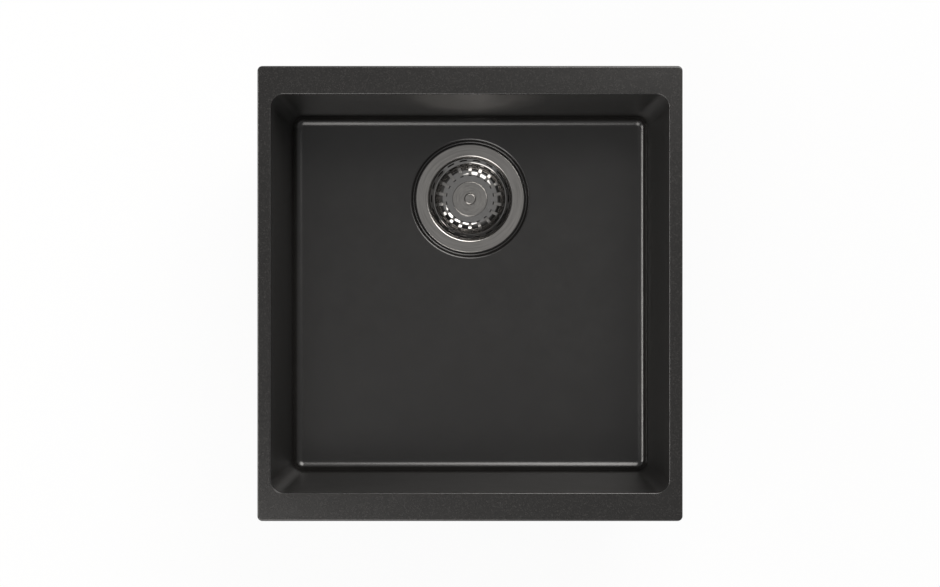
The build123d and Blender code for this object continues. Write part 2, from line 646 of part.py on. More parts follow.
def clip_pieces():
    """Brackets, screws and claws of the four clips, with their inserts and fixing screws in two groups."""
    pieces = {}
    inserts = []
    screws = []
    for name, (x, y) in CLIPS.items():
        place = clip_place(x, y)
        towards_middle = 180 if x * y > 0 else 0
        pieces[f"clip_bracket_{name}"] = place * clip_bracket()
        pieces[f"clip_screw_{name}"] = place * clip_screw()
        pieces[f"clip_claw_{name}"] = place * clip_claw(towards_middle)
        inserts += [place * shape for shape in along_wall(clip_insert())]
        screws += [place * shape for shape in along_wall(fixing_screw())]
    pieces["clip_inserts"] = Compound(children=inserts)
    pieces["clip_fixing_screws"] = Compound(children=screws)
    return pieces


os.makedirs("parts", exist_ok=True)
for node, shape in {"sink_bowl": sink_bowl(), **waste_pieces(), **clip_pieces()}.items():
    export_step(shape, f"parts/{node}.step")
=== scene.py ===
from math import cos, pi, radians, sin, tan

import bpy
import numpy as np
from bpy.props import FloatProperty, FloatVectorProperty, IntProperty, PointerProperty
from bpy.types import Operator, Panel, PropertyGroup
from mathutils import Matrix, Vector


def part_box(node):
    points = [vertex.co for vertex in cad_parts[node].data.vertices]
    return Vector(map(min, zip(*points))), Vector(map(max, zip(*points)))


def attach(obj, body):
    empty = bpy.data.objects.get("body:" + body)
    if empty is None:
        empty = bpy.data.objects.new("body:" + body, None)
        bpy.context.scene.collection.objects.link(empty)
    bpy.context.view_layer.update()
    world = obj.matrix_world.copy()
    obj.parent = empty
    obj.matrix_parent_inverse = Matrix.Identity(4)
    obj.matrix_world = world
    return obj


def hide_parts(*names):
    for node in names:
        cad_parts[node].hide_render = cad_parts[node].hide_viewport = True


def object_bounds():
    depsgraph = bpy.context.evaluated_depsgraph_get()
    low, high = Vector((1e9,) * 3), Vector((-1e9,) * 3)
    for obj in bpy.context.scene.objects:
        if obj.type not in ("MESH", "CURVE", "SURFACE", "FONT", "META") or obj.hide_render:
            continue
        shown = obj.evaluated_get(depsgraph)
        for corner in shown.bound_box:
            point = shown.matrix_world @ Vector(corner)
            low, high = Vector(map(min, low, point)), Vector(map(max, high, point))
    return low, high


bl_info = {
    "name": "Granite sink",
    "version": (1, 0, 0),
    "blender": (4, 5, 0),
    "location": "View3D > Sidebar > Sink",
    "description": "Finishes and fine pieces of a granite kitchen sink on its packed frame",
    "category": "Object",
}

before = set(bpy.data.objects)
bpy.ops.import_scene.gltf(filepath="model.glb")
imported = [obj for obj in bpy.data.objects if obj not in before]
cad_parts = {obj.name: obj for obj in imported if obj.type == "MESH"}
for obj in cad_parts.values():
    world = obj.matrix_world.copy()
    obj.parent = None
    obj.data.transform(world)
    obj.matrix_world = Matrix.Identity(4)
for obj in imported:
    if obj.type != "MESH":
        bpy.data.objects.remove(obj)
CAD_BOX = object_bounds()

TURN = 2 * pi
TINY = 1e-9
CLIP_NAMES = ("front_left", "front_right", "back_left", "back_right")


def middle(node):
    """Middle of a node's box."""
    low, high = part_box(node)
    return np.array((low + high) / 2)


def reach(node):
    """Half of a node's width, which is the radius of a round one."""
    low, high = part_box(node)
    return (high.x - low.x) / 2


def top(node):
    """Height of a node's highest point."""
    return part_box(node)[1].z


def bottom(node):
    """Height of a node's lowest point."""
    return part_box(node)[0].z


DRAIN = middle("strainer_flange")


def length(name, description, default):
    """Property for a size in metres."""
    return FloatProperty(name=name, description=description, default=default, unit="LENGTH", precision=5)


def angle(name, description, degrees):
    """Property for an angle."""
    return FloatProperty(name=name, description=description, default=radians(degrees), subtype="ANGLE")


def colour(name, description, default):
    """Property for a surface's colour."""
    return FloatVectorProperty(
        name=name, description=description, default=default, subtype="COLOR", min=0, max=1,
    )


def factor(name, description, default):
    """Property for a share or a roughness from 0 to 1."""
    return FloatProperty(
        name=name, description=description, default=default, subtype="FACTOR", min=0, max=1,
    )


def number(name, description, default, low, high):
    """Property for how many there are."""
    return IntProperty(name=name, description=description, default=default, min=low, max=high)


def lamp_angles(side, azimuth, zenith):
    """Property for a lamp's azimuth from +X and its angle from the zenith."""
    return FloatVectorProperty(
        name=f"{side} lamp", description="Azimuth from the right, and angle from the zenith", size=2,
        default=(radians(azimuth), radians(zenith)), subtype="EULER", unit="ROTATION",
    )


def lamp_size(side, width, height):
    """Property for a lamp's width and height."""
    return FloatVectorProperty(
        name=f"{side} lamp size", description="Width and height", size=2,
        default=(width, height), unit="LENGTH",
    )


def lamp_power(side, watts):
    """Property for a lamp's power."""
    return FloatProperty(
        name=f"{side} lamp power", description="Light given off", default=watts, unit="POWER",
    )


class BowlSizes(PropertyGroup):
    """Moulded bowl with its rim."""

    side_rim: length("Side rim", "Rim beside the opening", 0.0135)
    end_rim: length("End rim", "Rim in front of the opening and behind it", 0.0285)
    rim: length("Rim", "Thickness of the rim", 0.010)
    depth: length("Depth", "From the rim's top to the floor at the drain", 0.200)
    draft: angle("Draft", "Lean of the walls", 3.6)
    fall: angle("Fall", "Slope of the floor towards the drain", 0.7)
    wall: length("Wall", "Thickness of the walls", 0.007)
    floor: length("Floor", "Thickness of the floor", 0.010)
    corner: length("Corner", "Upright corners at the opening", 0.01295)
    base_corner: length("Base corner", "Upright corners at the underside", 0.012)
    rim_corner: length("Rim corner", "Corners of the rim", 0.005)
    rim_edge: length("Rim edge", "Rounding of the rim's upper edge", 0.0015)
    opening_edge: length("Opening edge", "Rounding between the rim and the walls", 0.0012)
    floor_bend: length("Floor bend", "Hollow between the walls and the floor", 0.011)
    base_bend: length("Base bend", "Rounding between the walls and the underside", 0.016)
    recess_gap: length("Recess gap", "Between the flange and the foot of the step round it", 0.0008)
    recess_depth: length("Recess depth", "From the floor to the flange's ledge", 0.0035)
    recess_lean: angle("Recess lean", "Recess wall from the upright", 30)
    recess_edge: length("Recess edge", "Rounding between the floor and the recess", 0.0037)
    recess_base: length("Recess base", "Hollow at the foot of the recess wall", 0.0005)
    step_height: length("Step height", "From the flange's ledge to the step round it", 0.0017)
    step_width: length("Step width", "From the step's edge to the recess wall", 0.0016)
    step_lean: angle("Step lean", "Side of the step from the upright", 20)
    step_edge: length("Step edge", "Rounding of the step", 0.0018)
    hole: length("Hole", "Radius of the drain hole", 0.045)
    pad_lap: length("Pad lap", "Round pad under the floor, beyond the flange", 0.009)
    pad_height: length("Pad height", "Height of the round pad", 0.004)
    pad_edge: length("Pad edge", "Chamfer of the round pad", 0.002)
    break_edge: length("Broken edge", "Rounding of the drain's other edges", 0.0003)


class StrainerSizes(PropertyGroup):
    """Pressed strainer under the bowl's floor."""

    sheet: length("Sheet", "Thickness of the pressed steel", 0.001)
    lip_bend: length("Lip bend", "Radius on top where the flange turns down", 0.003)
    rim_gap: length("Rim gap", "Between the basket's rim and the cup", 0.0003)
    joggle_gap: length("Joggle gap", "Under the edge of the basket's rim", 0.001)
    joggle: length("Joggle", "Step in the wall below the basket's rim", 0.0013)
    joggle_bend: length("Joggle bend", "Radius of the step's upper bend", 0.0006)
    cup_bend: length("Cup bend", "Hollow between the cup's wall and its seat", 0.014)
    throat_bend: length("Throat bend", "Radius on top where the seat turns into the throat", 0.002)
    seal_lip: length("Stopper lip", "Thickness of the stopper on its seat", 0.0017)
    seal_lap: length("Stopper lap", "Width of the stopper on its seat", 0.0018)
    spoke_width: length("Spoke", "Width of the spokes across the throat", 0.005)
    spoke_thickness: length("Spoke thickness", "Thickness of spokes and hub", 0.002)
    spokes: number("Spokes", "Spokes across the throat", 4, 2, 8)
    hub: length("Hub", "Radius of the hub", 0.009)
    hub_bore: length("Hub bore", "Radius of the hole for the clamp screw", 0.0042)
    edge: length("Edge", "Rounding of the flange's rim", 0.0007)


class BasketSizes(PropertyGroup):
    """Slotted basket that lifts out of the strainer."""

    sheet: length("Sheet", "Thickness of the pressed steel", 0.0008)
    rim_width: length("Rim width", "From the rim's edge to the wall", 0.00535)
    rim_slope: angle("Rim slope", "Fall of the rim towards its ledge", 30)
    ledge: length("Ledge", "Width of the ledge between the rim's slope and the wall", 0.0015)
    ledge_slope: angle("Ledge slope", "Fall of the ledge towards the wall", 19)
    ledge_bend: length("Ledge bend", "Hollow between the rim's slope and the ledge", 0.0004)
    rim_bend: length("Rim bend", "Radius where the ledge turns down", 0.0014)
    bend: length("Bend", "Hollow between the wall and the bottom", 0.013)
    stem_hole: length("Stem hole", "Radius of the hole in the bottom", 0.00245)
    slots: number("Slots", "Number of slots all round", 18, 6, 60)
    slot_width: length("Slot width", "Between the sides of a slot", 0.0034)
    slot_corner: length("Slot corner", "Rounding in a slot's corners", 0.0012)
    cap_gap: length("Cap gap", "From the cap to the slots", 0.0019)
    wall_gap: length("Wall gap", "From the slots to the inside of the wall", 0.0011)
    rim_slot_length: length("Rim slot length", "Length of the slots in the rim", 0.008)
    rim_slot_width: length("Rim slot width", "Width of the slots in the rim", 0.0015)
    rim_slot_edge: length("Rim slot edge", "Metal left outside the rim slots", 0.0009)
    edge: length("Edge", "Rounding of the stamped edges", 0.00012)


class WasteSizes(PropertyGroup):
    """Moulded waste body under the sink."""

    flange: length("Flange", "Thickness of the top flange", 0.005)
    wall: length("Wall", "Thickness of the cup's wall", 0.003)
    cup: length("Cup", "Inside radius of the cup", 0.046)
    funnel: length("Funnel", "Height of the funnel", 0.028)
    outlet_length: length("Outlet length", "From the funnel to the outlet's end", 0.030)
    outlet: length("Outlet", "Radius over the thread", 0.0239)
    bore: length("Bore", "Inside radius of the outlet", 0.020)
    outlet_edge: length("Outlet edge", "Chamfer at the outlet's end", 0.001)
    thread_pitch: length("Thread pitch", "Rise of the outlet's thread in a turn", 0.00231)
    thread_depth: length("Thread depth", "Depth of the outlet's thread", 0.00148)
    thread_start: length("Thread start", "Plain neck above the outlet's thread", 0.004)
    boss: length("Boss", "Radius of the boss", 0.00815)
    boss_bore: length("Boss bore", "Radius of the seat for the brass insert", 0.00568)
    boss_floor: length("Boss floor", "Thickness under the insert", 0.002)
    rib: length("Rib", "Thickness of webs and gussets", 0.0025)
    gusset_inset: length("Gusset inset", "From the flange's edge to the gussets", 0.002)
    flange_edge: length("Flange edge", "Rounding under the flange's rim", 0.0008)
    flange_root: length("Flange root", "Hollow between the flange and the cup", 0.0015)
    cup_bend: length("Cup bend", "Bend between the cup and the funnel", 0.006)
    neck_bend: length("Neck bend", "Bend between the funnel and the outlet", 0.004)
    boss_edge: length("Boss edge", "Rounding of the boss's outer edge", 0.0005)
    boss_mouth: length("Boss mouth", "Rounding of the boss's inner edge", 0.0003)
    webs: number("Webs", "Webs that carry the boss", 4, 2, 8)
    gussets: number("Gussets", "Gussets under the flange", 8, 2, 24)


class ClipSizes(PropertyGroup):
    """Screws of the fixing clips, and the pads that carry the clips."""

    screw: length("Screw", "Radius over the clip screw's thread", 0.0025)
    screw_pitch: length("Screw pitch", "Rise of the clip screw's thread in a turn", 0.0008)
    screw_depth: length("Screw depth", "Depth of the clip screw's thread", 0.00045)
    head: length("Head", "Radius of the clip screw's head over its corners", 0.0046)
    head_height: length("Head height", "Height of the clip screw's head", 0.0035)
    end: length("End", "Radius of the peened end", 0.0036)
    end_height: length("End height", "Height of the peened end", 0.0012)
    fixing: length("Fixing", "Radius of the fixing screws", 0.002)
    fixing_pitch: length("Fixing pitch", "Rise of the fixing screw's thread in a turn", 0.0007)
    fixing_depth: length("Fixing depth", "Depth of the fixing screw's thread", 0.0003)
    fixing_head: length("Fixing head", "Radius of the fixing screw's head over its corners", 0.004)
    fixing_head_height: length("Fixing head height", "Height of the fixing screw's head", 0.0022)
    fixing_length: length("Fixing length", "From the head to the end", 0.0077)
    fixing_spread: length("Fixing spread", "Between the two screws of a bracket", 0.014)
    pad_width: length("Pad width", "Pad on the wall behind a bracket", 0.028)
    pad_height: length("Pad height", "Height of the pad", 0.056)
    pad_depth: length("Pad depth", "From the pad's face into the wall", 0.00746)
    pad_rise: length("Pad rise", "Pad above the bracket", 0.003)
    pad_corner: length("Pad corner", "Corners of the pad", 0.004)
    pad_edge: length("Pad edge", "Rounding round the pad's face", 0.0003)


class FinishSettings(PropertyGroup):
    """Colours and roughness of the finishes."""

    granite: colour("Granite", "Ground of the composite", (0.0094, 0.0086, 0.0079))
    fleck: colour("Fleck", "Lighter quartz grains", (0.105, 0.100, 0.095))
    raw_granite: colour("Raw granite", "Unpolished back of the moulding", (0.034, 0.033, 0.032))
    flange_steel: colour("Flange steel", "Brushed steel", (0.52, 0.503, 0.482))
    basket_steel: colour("Basket steel", "Polished steel", (0.49, 0.48, 0.47))
    screw_steel: colour("Screw steel", "Turned steel", (0.46, 0.45, 0.435))
    zinc: colour("Zinc", "Plated clips", (0.60, 0.61, 0.62))
    brass: colour("Brass", "Threaded inserts", (0.70, 0.50, 0.20))
    rubber: colour("Rubber", "Gaskets and stopper", (0.012, 0.012, 0.012))
    plastic: colour("Plastic", "Waste body", (0.018, 0.018, 0.019))
    bowl_flecks: factor("Bowl flecks", "How far flecks show in the bowl", 0.10)
    rim_flecks: factor("Rim flecks", "How much more they show on the rim", 0.18)
    granite_roughness: factor("Granite roughness", "Polished floor of the bowl", 0.19)
    wall_dulling: factor("Wall dulling", "Roughness added on the walls", 0.22)
    raw_dulling: factor("Raw dulling", "Roughness added on the back of the moulding", 0.30)
    rim_polish: factor("Rim polish", "Roughness taken off on the rim", 0.035)
    flange_roughness: factor("Flange roughness", "Brushed flange", 0.11)
    cap_roughness: factor("Cap roughness", "Brushed cap and knob", 0.115)
    basket_roughness: factor("Basket roughness", "Polished basket", 0.08)
    screw_roughness: factor("Screw roughness", "Turned steel", 0.24)
    zinc_roughness: factor("Zinc roughness", "Plated clips", 0.26)
    brass_roughness: factor("Brass roughness", "Threaded inserts", 0.26)
    rubber_roughness: factor("Rubber roughness", "Gaskets and stopper", 0.58)
    plastic_roughness: factor("Plastic roughness", "Waste body", 0.34)


class StageSettings(PropertyGroup):
    """Floor, lights and camera."""

    floor_colour: colour("Floor", "Floor and backdrop", (1.0, 1.0, 1.0))
    floor_glow: factor("Floor glow", "Share of the floor's own white, the rest takes the shadow", 0.93)
    floor_radius: length("Floor radius", "Flat part of the floor", 7.0)
    cove: length("Cove", "Radius of the backdrop's curve", 3.0)
    backdrop: length("Backdrop", "Height of the backdrop", 4.8)
    floor_gap: length("Floor gap", "Between the outlet and the floor", 0.0005)
    room: FloatProperty(name="Room", description="Light from all round", default=0.275, min=0, max=2)
    light_distance: length("Light distance", "From the bowl to the lamps", 2.2)
    lamp_colour: colour("Lamp colour", "Light of the lamps", (1.0, 0.97, 0.94))
    front_angles: lamp_angles("Front", 245, 31)
    front_size: lamp_size("Front", 1.1, 1.15)
    front_power: lamp_power("Front", 13.3)
    back_angles: lamp_angles("Back", 66, 36.5)
    back_size: lamp_size("Back", 1.2, 1.4)
    back_power: lamp_power("Back", 29.5)
    left_angles: lamp_angles("Left", 180, 60.5)
    left_size: lamp_size("Left", 0.9, 0.5)
    left_power: lamp_power("Left", 12.4)
    camera_height: length("Camera height", "Above the rim's top", 3.378)
    camera_reach: length("Camera reach", "Farthest thing that the camera sees", 100)
    field: angle("Field of view", "Across the picture", 15.9)


def arc_between(corner, before, after, radius, steps):
    """Arc tangent to the two runs that meet at a corner, or one arc for each of many corners.

    With u and v the unit vectors from the corner along its runs and w half their angle, the centre
    lies radius / sin w from the corner along u + v. The arc swings by pi - 2 w between the feet of
    that centre, as the sum of the feet weighted by sin((1 - t) swing) / sin(swing) and
    sin(t swing) / sin(swing).
    """

    def unit(vector):
        """Vector of length 1."""
        return vector / np.linalg.norm(vector, axis=-1, keepdims=True)

    u, v = unit(before - corner), unit(after - corner)
    half = np.arccos(np.sum(u * v, axis=-1, keepdims=True)) / 2
    centre = corner + unit(u + v) * radius / np.sin(half)
    start = corner + u * radius / np.tan(half) - centre
    end = corner + v * radius / np.tan(half) - centre
    swing = pi - 2 * half
    share = np.linspace(0, 1, steps).reshape(-1, *[1] * corner.ndim)
    return centre + (np.sin((1 - share) * swing) * start + np.sin(share * swing) * end) / np.sin(swing)


ARC_POINTS = 14
RUN_STOPS = np.array([[0.04], [0.3], [0.7], [0.96]])


def bent_path(corners, bends, steps=ARC_POINTS):
    """Straight runs joined by tangent arcs, with a few points on each run, two of them near its ends."""
    corners = np.array(corners, float)
    arcs = [corners[:1]]
    for i, radius in enumerate(bends, 1):
        arcs.append(arc_between(corners[i], corners[i - 1], corners[i + 1], radius, steps))
    arcs.append(corners[-1:])
    rows = [arcs[0]]
    for before, after in zip(arcs, arcs[1:]):
        rows.append(before[-1] + RUN_STOPS * (after[0] - before[-1]))
        rows.append(after)
    return np.concatenate(rows)


def left_of(path, distance):
    """Path moved to its left: every point goes along the normal of its central difference."""
    along = np.gradient(path, axis=0)
    along /= np.linalg.norm(along, axis=1, keepdims=True)
    return path + distance * np.column_stack([-along[:, 1], along[:, 0]])


def circle_of(count):
    """Angles of a full circle."""
    return np.linspace(0, TURN, count, endpoint=False)


def carried_round(profile, centre, count):
    """Grid of points: each (r, z) of a profile goes round the upright axis as (r cos a, r sin a, z)."""
    angles = circle_of(count)
    r, z = profile[:, :1], profile[:, 1:]
    x = centre[0] + r * np.cos(angles)
    y = centre[1] + r * np.sin(angles)
    return np.stack([x, y, np.broadcast_to(z, x.shape)], axis=2)


def grid_quads(rows, columns, wrap_rows=False):
    """Quads of a grid whose columns close round, and whose rows close too where asked."""
    index = np.arange(rows * columns).reshape(rows, columns)
    if wrap_rows:
        index = np.concatenate([index, index[:1]])
    right = np.roll(index, -1, axis=1)
    return np.stack([index[:-1], right[:-1], right[1:], index[1:]], axis=2).reshape(-1, 4)


def capped(grid):
    """Points and faces of a grid whose columns close round, with one face over either end."""
    rows, columns = grid.shape[:2]
    rim = np.arange(columns)[None]
    ends = np.concatenate([rim[:, ::-1], rim + (rows - 1) * columns])
    return grid.reshape(-1, 3), [grid_quads(rows, columns), ends]


def copies(points, faces, turns, places):
    """Copies of a mesh, each turned by a matrix whose columns are its axes and moved to its place."""
    moved = np.einsum("kij,nj->kni", turns, points) + np.array(places)[:, None]
    shift = np.arange(len(places))[:, None, None] * len(points)
    return moved.reshape(-1, 3), [(group + shift).reshape(-1, group.shape[1]) for group in faces]


def rounded_ring(sides, steps):
    """Signs of the corners and outward normals round a rectangle, at shares of its four sides."""
    corners = np.array([(1, -1), (1, 1), (-1, 1), (-1, -1)], float)
    signs, normals = [], []
    for i, share in enumerate(sides):
        swing = np.linspace(i, i + 1, steps) * TURN / 4
        turn = np.concatenate([np.full(len(share), swing[0]), swing])
        start, end = corners[i], corners[(i + 1) % 4]
        signs += [start + share[:, None] * (end - start), np.tile(end, (steps, 1))]
        normals.append(np.column_stack([np.cos(turn), np.sin(turn)]))
    return np.concatenate(signs), np.concatenate(normals)


def on_ring(ring, half_x, half_y, corner):
    """Outlines of rounded rectangles.

    Each is the signs times its half sizes less the corner, plus the corner times the normals.
    """
    signs, normals = ring
    half = np.stack([half_x, half_y], axis=-1)[:, None]
    corner = corner[:, None, None]
    return signs * (half - corner) + corner * normals


def raised(flat, heights):
    """Flat grid of points with a height for every row."""
    return np.dstack([flat, np.broadcast_to(heights[:, None], flat.shape[:2])])


SHARP_ANGLE = radians(35)
BEVEL_ANGLE = radians(40)
BEVEL_SEGMENTS = 2


def make_piece(name, points, faces, finish):
    """Mesh from an array of points and a list of face arrays, one array for each number of corners."""
    mesh = bpy.data.meshes.new(name)
    corners = np.concatenate([group.ravel() for group in faces]).astype(np.int32)
    counts = np.concatenate([np.full(len(group), group.shape[1]) for group in faces])
    starts = np.concatenate([[0], np.cumsum(counts)[:-1]]).astype(np.int32)
    mesh.vertices.add(len(points))
    mesh.vertices.foreach_set("co", np.asarray(points, np.float32).ravel())
    mesh.loops.add(len(corners))
    mesh.loops.foreach_set("vertex_index", corners)
    mesh.polygons.add(len(starts))
    mesh.polygons.foreach_set("loop_start", starts)
    mesh.polygons.foreach_set("use_smooth", np.ones(len(starts), bool))
    mesh.update(calc_edges=True)
    mesh.validate()
    mesh.set_sharp_from_angle(angle=SHARP_ANGLE)
    mesh.materials.append(finish)
    piece = bpy.data.objects.new(name, mesh)
    bpy.context.scene.collection.objects.link(piece)
    return piece


def seat_piece(piece, body, slot, *nodes):
    """Puts a finished piece on its body and in the place of its nodes, which it hides; the slot is not
    used.
    """
    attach(piece, body)
    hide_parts(*nodes)


def round_edges(piece, width):
    """Small rounding on the sharp edges of a piece."""
    bevel = piece.modifiers.new("Edges", "BEVEL")
    bevel.width = width
    bevel.segments = BEVEL_SEGMENTS
    bevel.limit_method = "ANGLE"
    bevel.angle_limit = BEVEL_ANGLE


def turned_piece(name, outline, centre, count, finish):
    """Closed outline of radius and height carried round the upright axis, which climbs its outer side."""
    points = carried_round(outline, centre, count)
    quads = grid_quads(len(outline), count, wrap_rows=True)
    return make_piece(name, points.reshape(-1, 3), [quads], finish)


def holed_sheet(name, upper, lower, keep, finish):
    """Sheet between two grids of points, with rows that run outwards and holes at the missing cells.

    The kept cells give an upper and a lower skin. A wall joins the skins along every grid line that
    has a kept cell on one side only, which closes the holes' edges and the sheet's two ends.
    """
    rows, columns = upper.shape[:2]
    index = np.arange(rows * columns).reshape(rows, columns)
    right = np.roll(index, -1, axis=1)
    under = rows * columns
    skin = np.stack([index[:-1], index[1:], right[1:], right[:-1]], axis=2)[keep]
    edge = np.zeros((1, columns), bool)
    above = np.concatenate([edge, keep])
    below = np.concatenate([keep, edge])
    before = np.roll(keep, 1, axis=1)

    def walls(start, end, where):
        """Upright quads from the upper skin to the lower one along grid lines."""
        a, b = start[where], end[where]
        return np.stack([a, b, b + under, a + under], axis=1)

    faces = [
        skin,
        skin[:, ::-1] + under,
        walls(index, right, below & ~above),
        walls(right, index, above & ~below),
        walls(index[1:], index[:-1], keep & ~before),
        walls(index[:-1], index[1:], before & ~keep),
    ]
    points = np.concatenate([upper.reshape(-1, 3), lower.reshape(-1, 3)])
    return make_piece(name, points, [np.concatenate(faces)], finish)


class Value:
    """Number from a shader socket: every operator on it adds one Math node to its tree."""

    def __init__(self, finish, socket):
        self.finish = finish
        self.socket = socket

    def math(self, operation, first, second=0.0):
        """Math node on two values."""
        made = self.finish.node("ShaderNodeMath", {"operation": operation}, {0: first, 1: second})
        return Value(self.finish, made.outputs[0])

    def __add__(self, other):
        return self.math("ADD", self, other)

    def __sub__(self, other):
        return self.math("SUBTRACT", self, other)

    def __rsub__(self, other):
        return self.math("SUBTRACT", other, self)

    def __mul__(self, other):
        return self.math("MULTIPLY", self, other)

    def __truediv__(self, other):
        return self.math("DIVIDE", self, other)

    def __rtruediv__(self, other):
        return self.math("DIVIDE", other, self)

    __radd__ = __add__
    __rmul__ = __mul__


MIX_INPUTS = (6, 7)
MIX_OUTPUT = 2


class Finish:
    """Node tree of one material."""

    def __init__(self, name):
        self.material = bpy.data.materials.new(f"{name}_finish")
        self.material.use_nodes = True
        self.tree = self.material.node_tree
        self.tree.nodes.clear()

    def node(self, kind, settings=None, sockets=None):
        """Adds a node: its settings first, then the values or links of its sockets."""
        made = self.tree.nodes.new(kind)
        for key, value in (settings or {}).items():
            setattr(made, key, value)
        for key, value in (sockets or {}).items():
            source = getattr(value, "socket", value)
            if isinstance(source, bpy.types.NodeSocket):
                self.tree.links.new(source, made.inputs[key])
            else:
                made.inputs[key].default_value = source
        return made

    def value(self, kind, settings=None, sockets=None, output=0):
        """Output of a new node as a number for arithmetic."""
        return Value(self, self.node(kind, settings, sockets).outputs[output])

    def vector(self, operation, *operands):
        """Outputs of a Vector Math node."""
        settings = {"operation": operation}
        return self.node("ShaderNodeVectorMath", settings, dict(enumerate(operands))).outputs

    def axes(self, vector):
        """X, Y and Z of a vector as numbers for arithmetic."""
        parts = self.node("ShaderNodeSeparateXYZ", None, {0: vector}).outputs
        return [Value(self, part) for part in parts]

    def place(self):
        """Object coordinates."""
        return self.node("ShaderNodeTexCoord").outputs["Object"]

    def noise(self, vector, scale, detail, roughness):
        """Noise from 0 to 1 with features of about 1 / scale metres."""
        sockets = {"Vector": vector, "Scale": scale, "Detail": detail, "Roughness": roughness}
        return self.value("ShaderNodeTexNoise", None, sockets, "Fac")

    def cells(self, vector, scale):
        """Outputs of a pattern of cells that are about 1 / scale metres wide."""
        return self.node("ShaderNodeTexVoronoi", None, {"Vector": vector, "Scale": scale}).outputs

    def between(self, value, low, high):
        """Smooth step of a value, from 0 at its low level to 1 at its high one."""
        sockets = {"Value": value, "From Min": low, "From Max": high}
        return self.value("ShaderNodeMapRange", {"interpolation_type": "SMOOTHSTEP"}, sockets)

    def blend(self, amount, first, second):
        """Colour mixed from two colours, with an amount of the second."""
        sockets = {"Factor": amount}
        for key, tint in zip(MIX_INPUTS, (first, second)):
            sockets[key] = tint if isinstance(tint, bpy.types.NodeSocket) else (*tint, 1)
        return self.node("ShaderNodeMix", {"data_type": "RGBA"}, sockets).outputs[MIX_OUTPUT]

    def relief(self, height, distance, strength):
        """Normal from a height that rises by a distance in metres."""
        sockets = {"Height": height, "Distance": distance, "Strength": strength}
        return self.node("ShaderNodeBump", None, sockets).outputs["Normal"]

    def surface(self, **sockets):
        """Principled surface: keywords are its sockets, with _ for a space."""
        named = {key.replace("_", " "): value for key, value in sockets.items()}
        shader = self.node("ShaderNodeBsdfPrincipled", None, named)
        self.node("ShaderNodeOutputMaterial", None, {"Surface": shader.outputs["BSDF"]})
        return self.material


def drain_polar(finish):
    """Distance from the drain's axis in metres, and the cosine and sine of the angle round it."""
    offset = finish.vector("SUBTRACT", finish.place(), tuple(DRAIN))["Vector"]
    x, y, _ = finish.axes(offset)
    radius = x.math("SQRT", x * x + y * y)
    return radius, x / radius, y / radius


def dimmed(tint, light):
    """Colour with a share of its light."""
    return tuple(light * channel for channel in tint)


def lifted(tint, light):
    """Colour with some white light added."""
    return tuple(channel + light for channel in tint)


# Where a zone of the granite starts and where it is whole, as heights in metres or shares of the facing
RIM_LEVELS = {"low": 0.004, "high": 0.0085}
RIM_FOOT_LEVELS = {"low": 0.0002, "high": -0.0002}
WALL_LEVELS = {"low": 0.35, "high": 0.1}
OUTSIDE_LEVELS = {"low": 0.2, "high": 0.4}
UPRIGHT_LEVELS = {"low": 0.5, "high": 0.3}
UNDERSIDE_LEVELS = {"low": -0.5, "high": -0.7}

# Shares of the patterns in the granite's colour, roughness and grit
SMALL_GRAINS, LARGE_GRAINS = 0.75, 0.3
CLOUDS, RAW_CLOUDS, RAW_GROUND = 0.22, 0.8, 0.45
POLISH_SPREAD, CLOUD_SPREAD = 0.05, 0.04
RAW_GRIT, RIM_GRIT, BOWL_GRIT, RAW_LUMPS = 5.0, 0.2, 0.2, 9.0
RESIN_INDEX = 1.7


def granite_finish(settings):
    """Quartz composite: satin in the bowl, flecked on the rim, raw on the back of the moulding."""
    finish = Finish("granite")
    place = finish.place()
    facing = finish.node("ShaderNodeNewGeometry").outputs["Normal"]
    height = finish.axes(place)[2]
    upward = finish.axes(facing)[2]
    level = finish.vector("MULTIPLY", place, (1, 1, 0))["Vector"]
    away = finish.vector("NORMALIZE", level)["Vector"]
    outward = Value(finish, finish.vector("DOT_PRODUCT", facing, away)["Value"])
    on_rim = finish.between(height, **RIM_LEVELS)
    on_wall = finish.between(upward, **WALL_LEVELS)
    raw = finish.between(height, **RIM_FOOT_LEVELS) * finish.between(outward, **OUTSIDE_LEVELS)
    raw = raw * finish.between(upward, **UPRIGHT_LEVELS)
    raw = raw.math("MAXIMUM", raw, finish.between(upward, **UNDERSIDE_LEVELS))

    def grains(scale, low, high):
        """Random share of small cells, where only the highest draw shows."""
        tint = finish.cells(place, scale)["Color"]
        draw = finish.value("ShaderNodeSeparateColor", None, {0: tint})
        return finish.between(draw, low, high)

    small = grains(scale=1300, low=0.70, high=0.98)
    large = grains(scale=520, low=0.955, high=0.985)
    cloud = finish.noise(place, scale=45, detail=4, roughness=0.6)
    polish = finish.noise(place, scale=900, detail=3, roughness=0.6)
    fine = finish.noise(place, scale=1700, detail=2, roughness=0.6)
    coarse = finish.noise(place, scale=160, detail=3, roughness=0.55)
    grains_shown = on_rim * settings.rim_flecks + settings.bowl_flecks
    flecks = (small * SMALL_GRAINS + large * LARGE_GRAINS) * grains_shown
    ground = finish.blend(cloud * (1 - on_rim) * CLOUDS, settings.granite, settings.raw_granite)
    ground = finish.blend(raw * (cloud * RAW_CLOUDS + RAW_GROUND), ground, settings.raw_granite)
    dulling = on_wall * settings.wall_dulling + raw * settings.raw_dulling - on_rim * settings.rim_polish
    spread = polish * POLISH_SPREAD + cloud * CLOUD_SPREAD
    grit = fine * (raw * RAW_GRIT + on_rim * RIM_GRIT + BOWL_GRIT) + coarse * raw * RAW_LUMPS
    return finish.surface(
        Base_Color=finish.blend(flecks, ground, settings.fleck),
        Roughness=spread + dulling + settings.granite_roughness,
        IOR=RESIN_INDEX,
        Normal=finish.relief(grit, distance=0.00002, strength=0.6),
    )


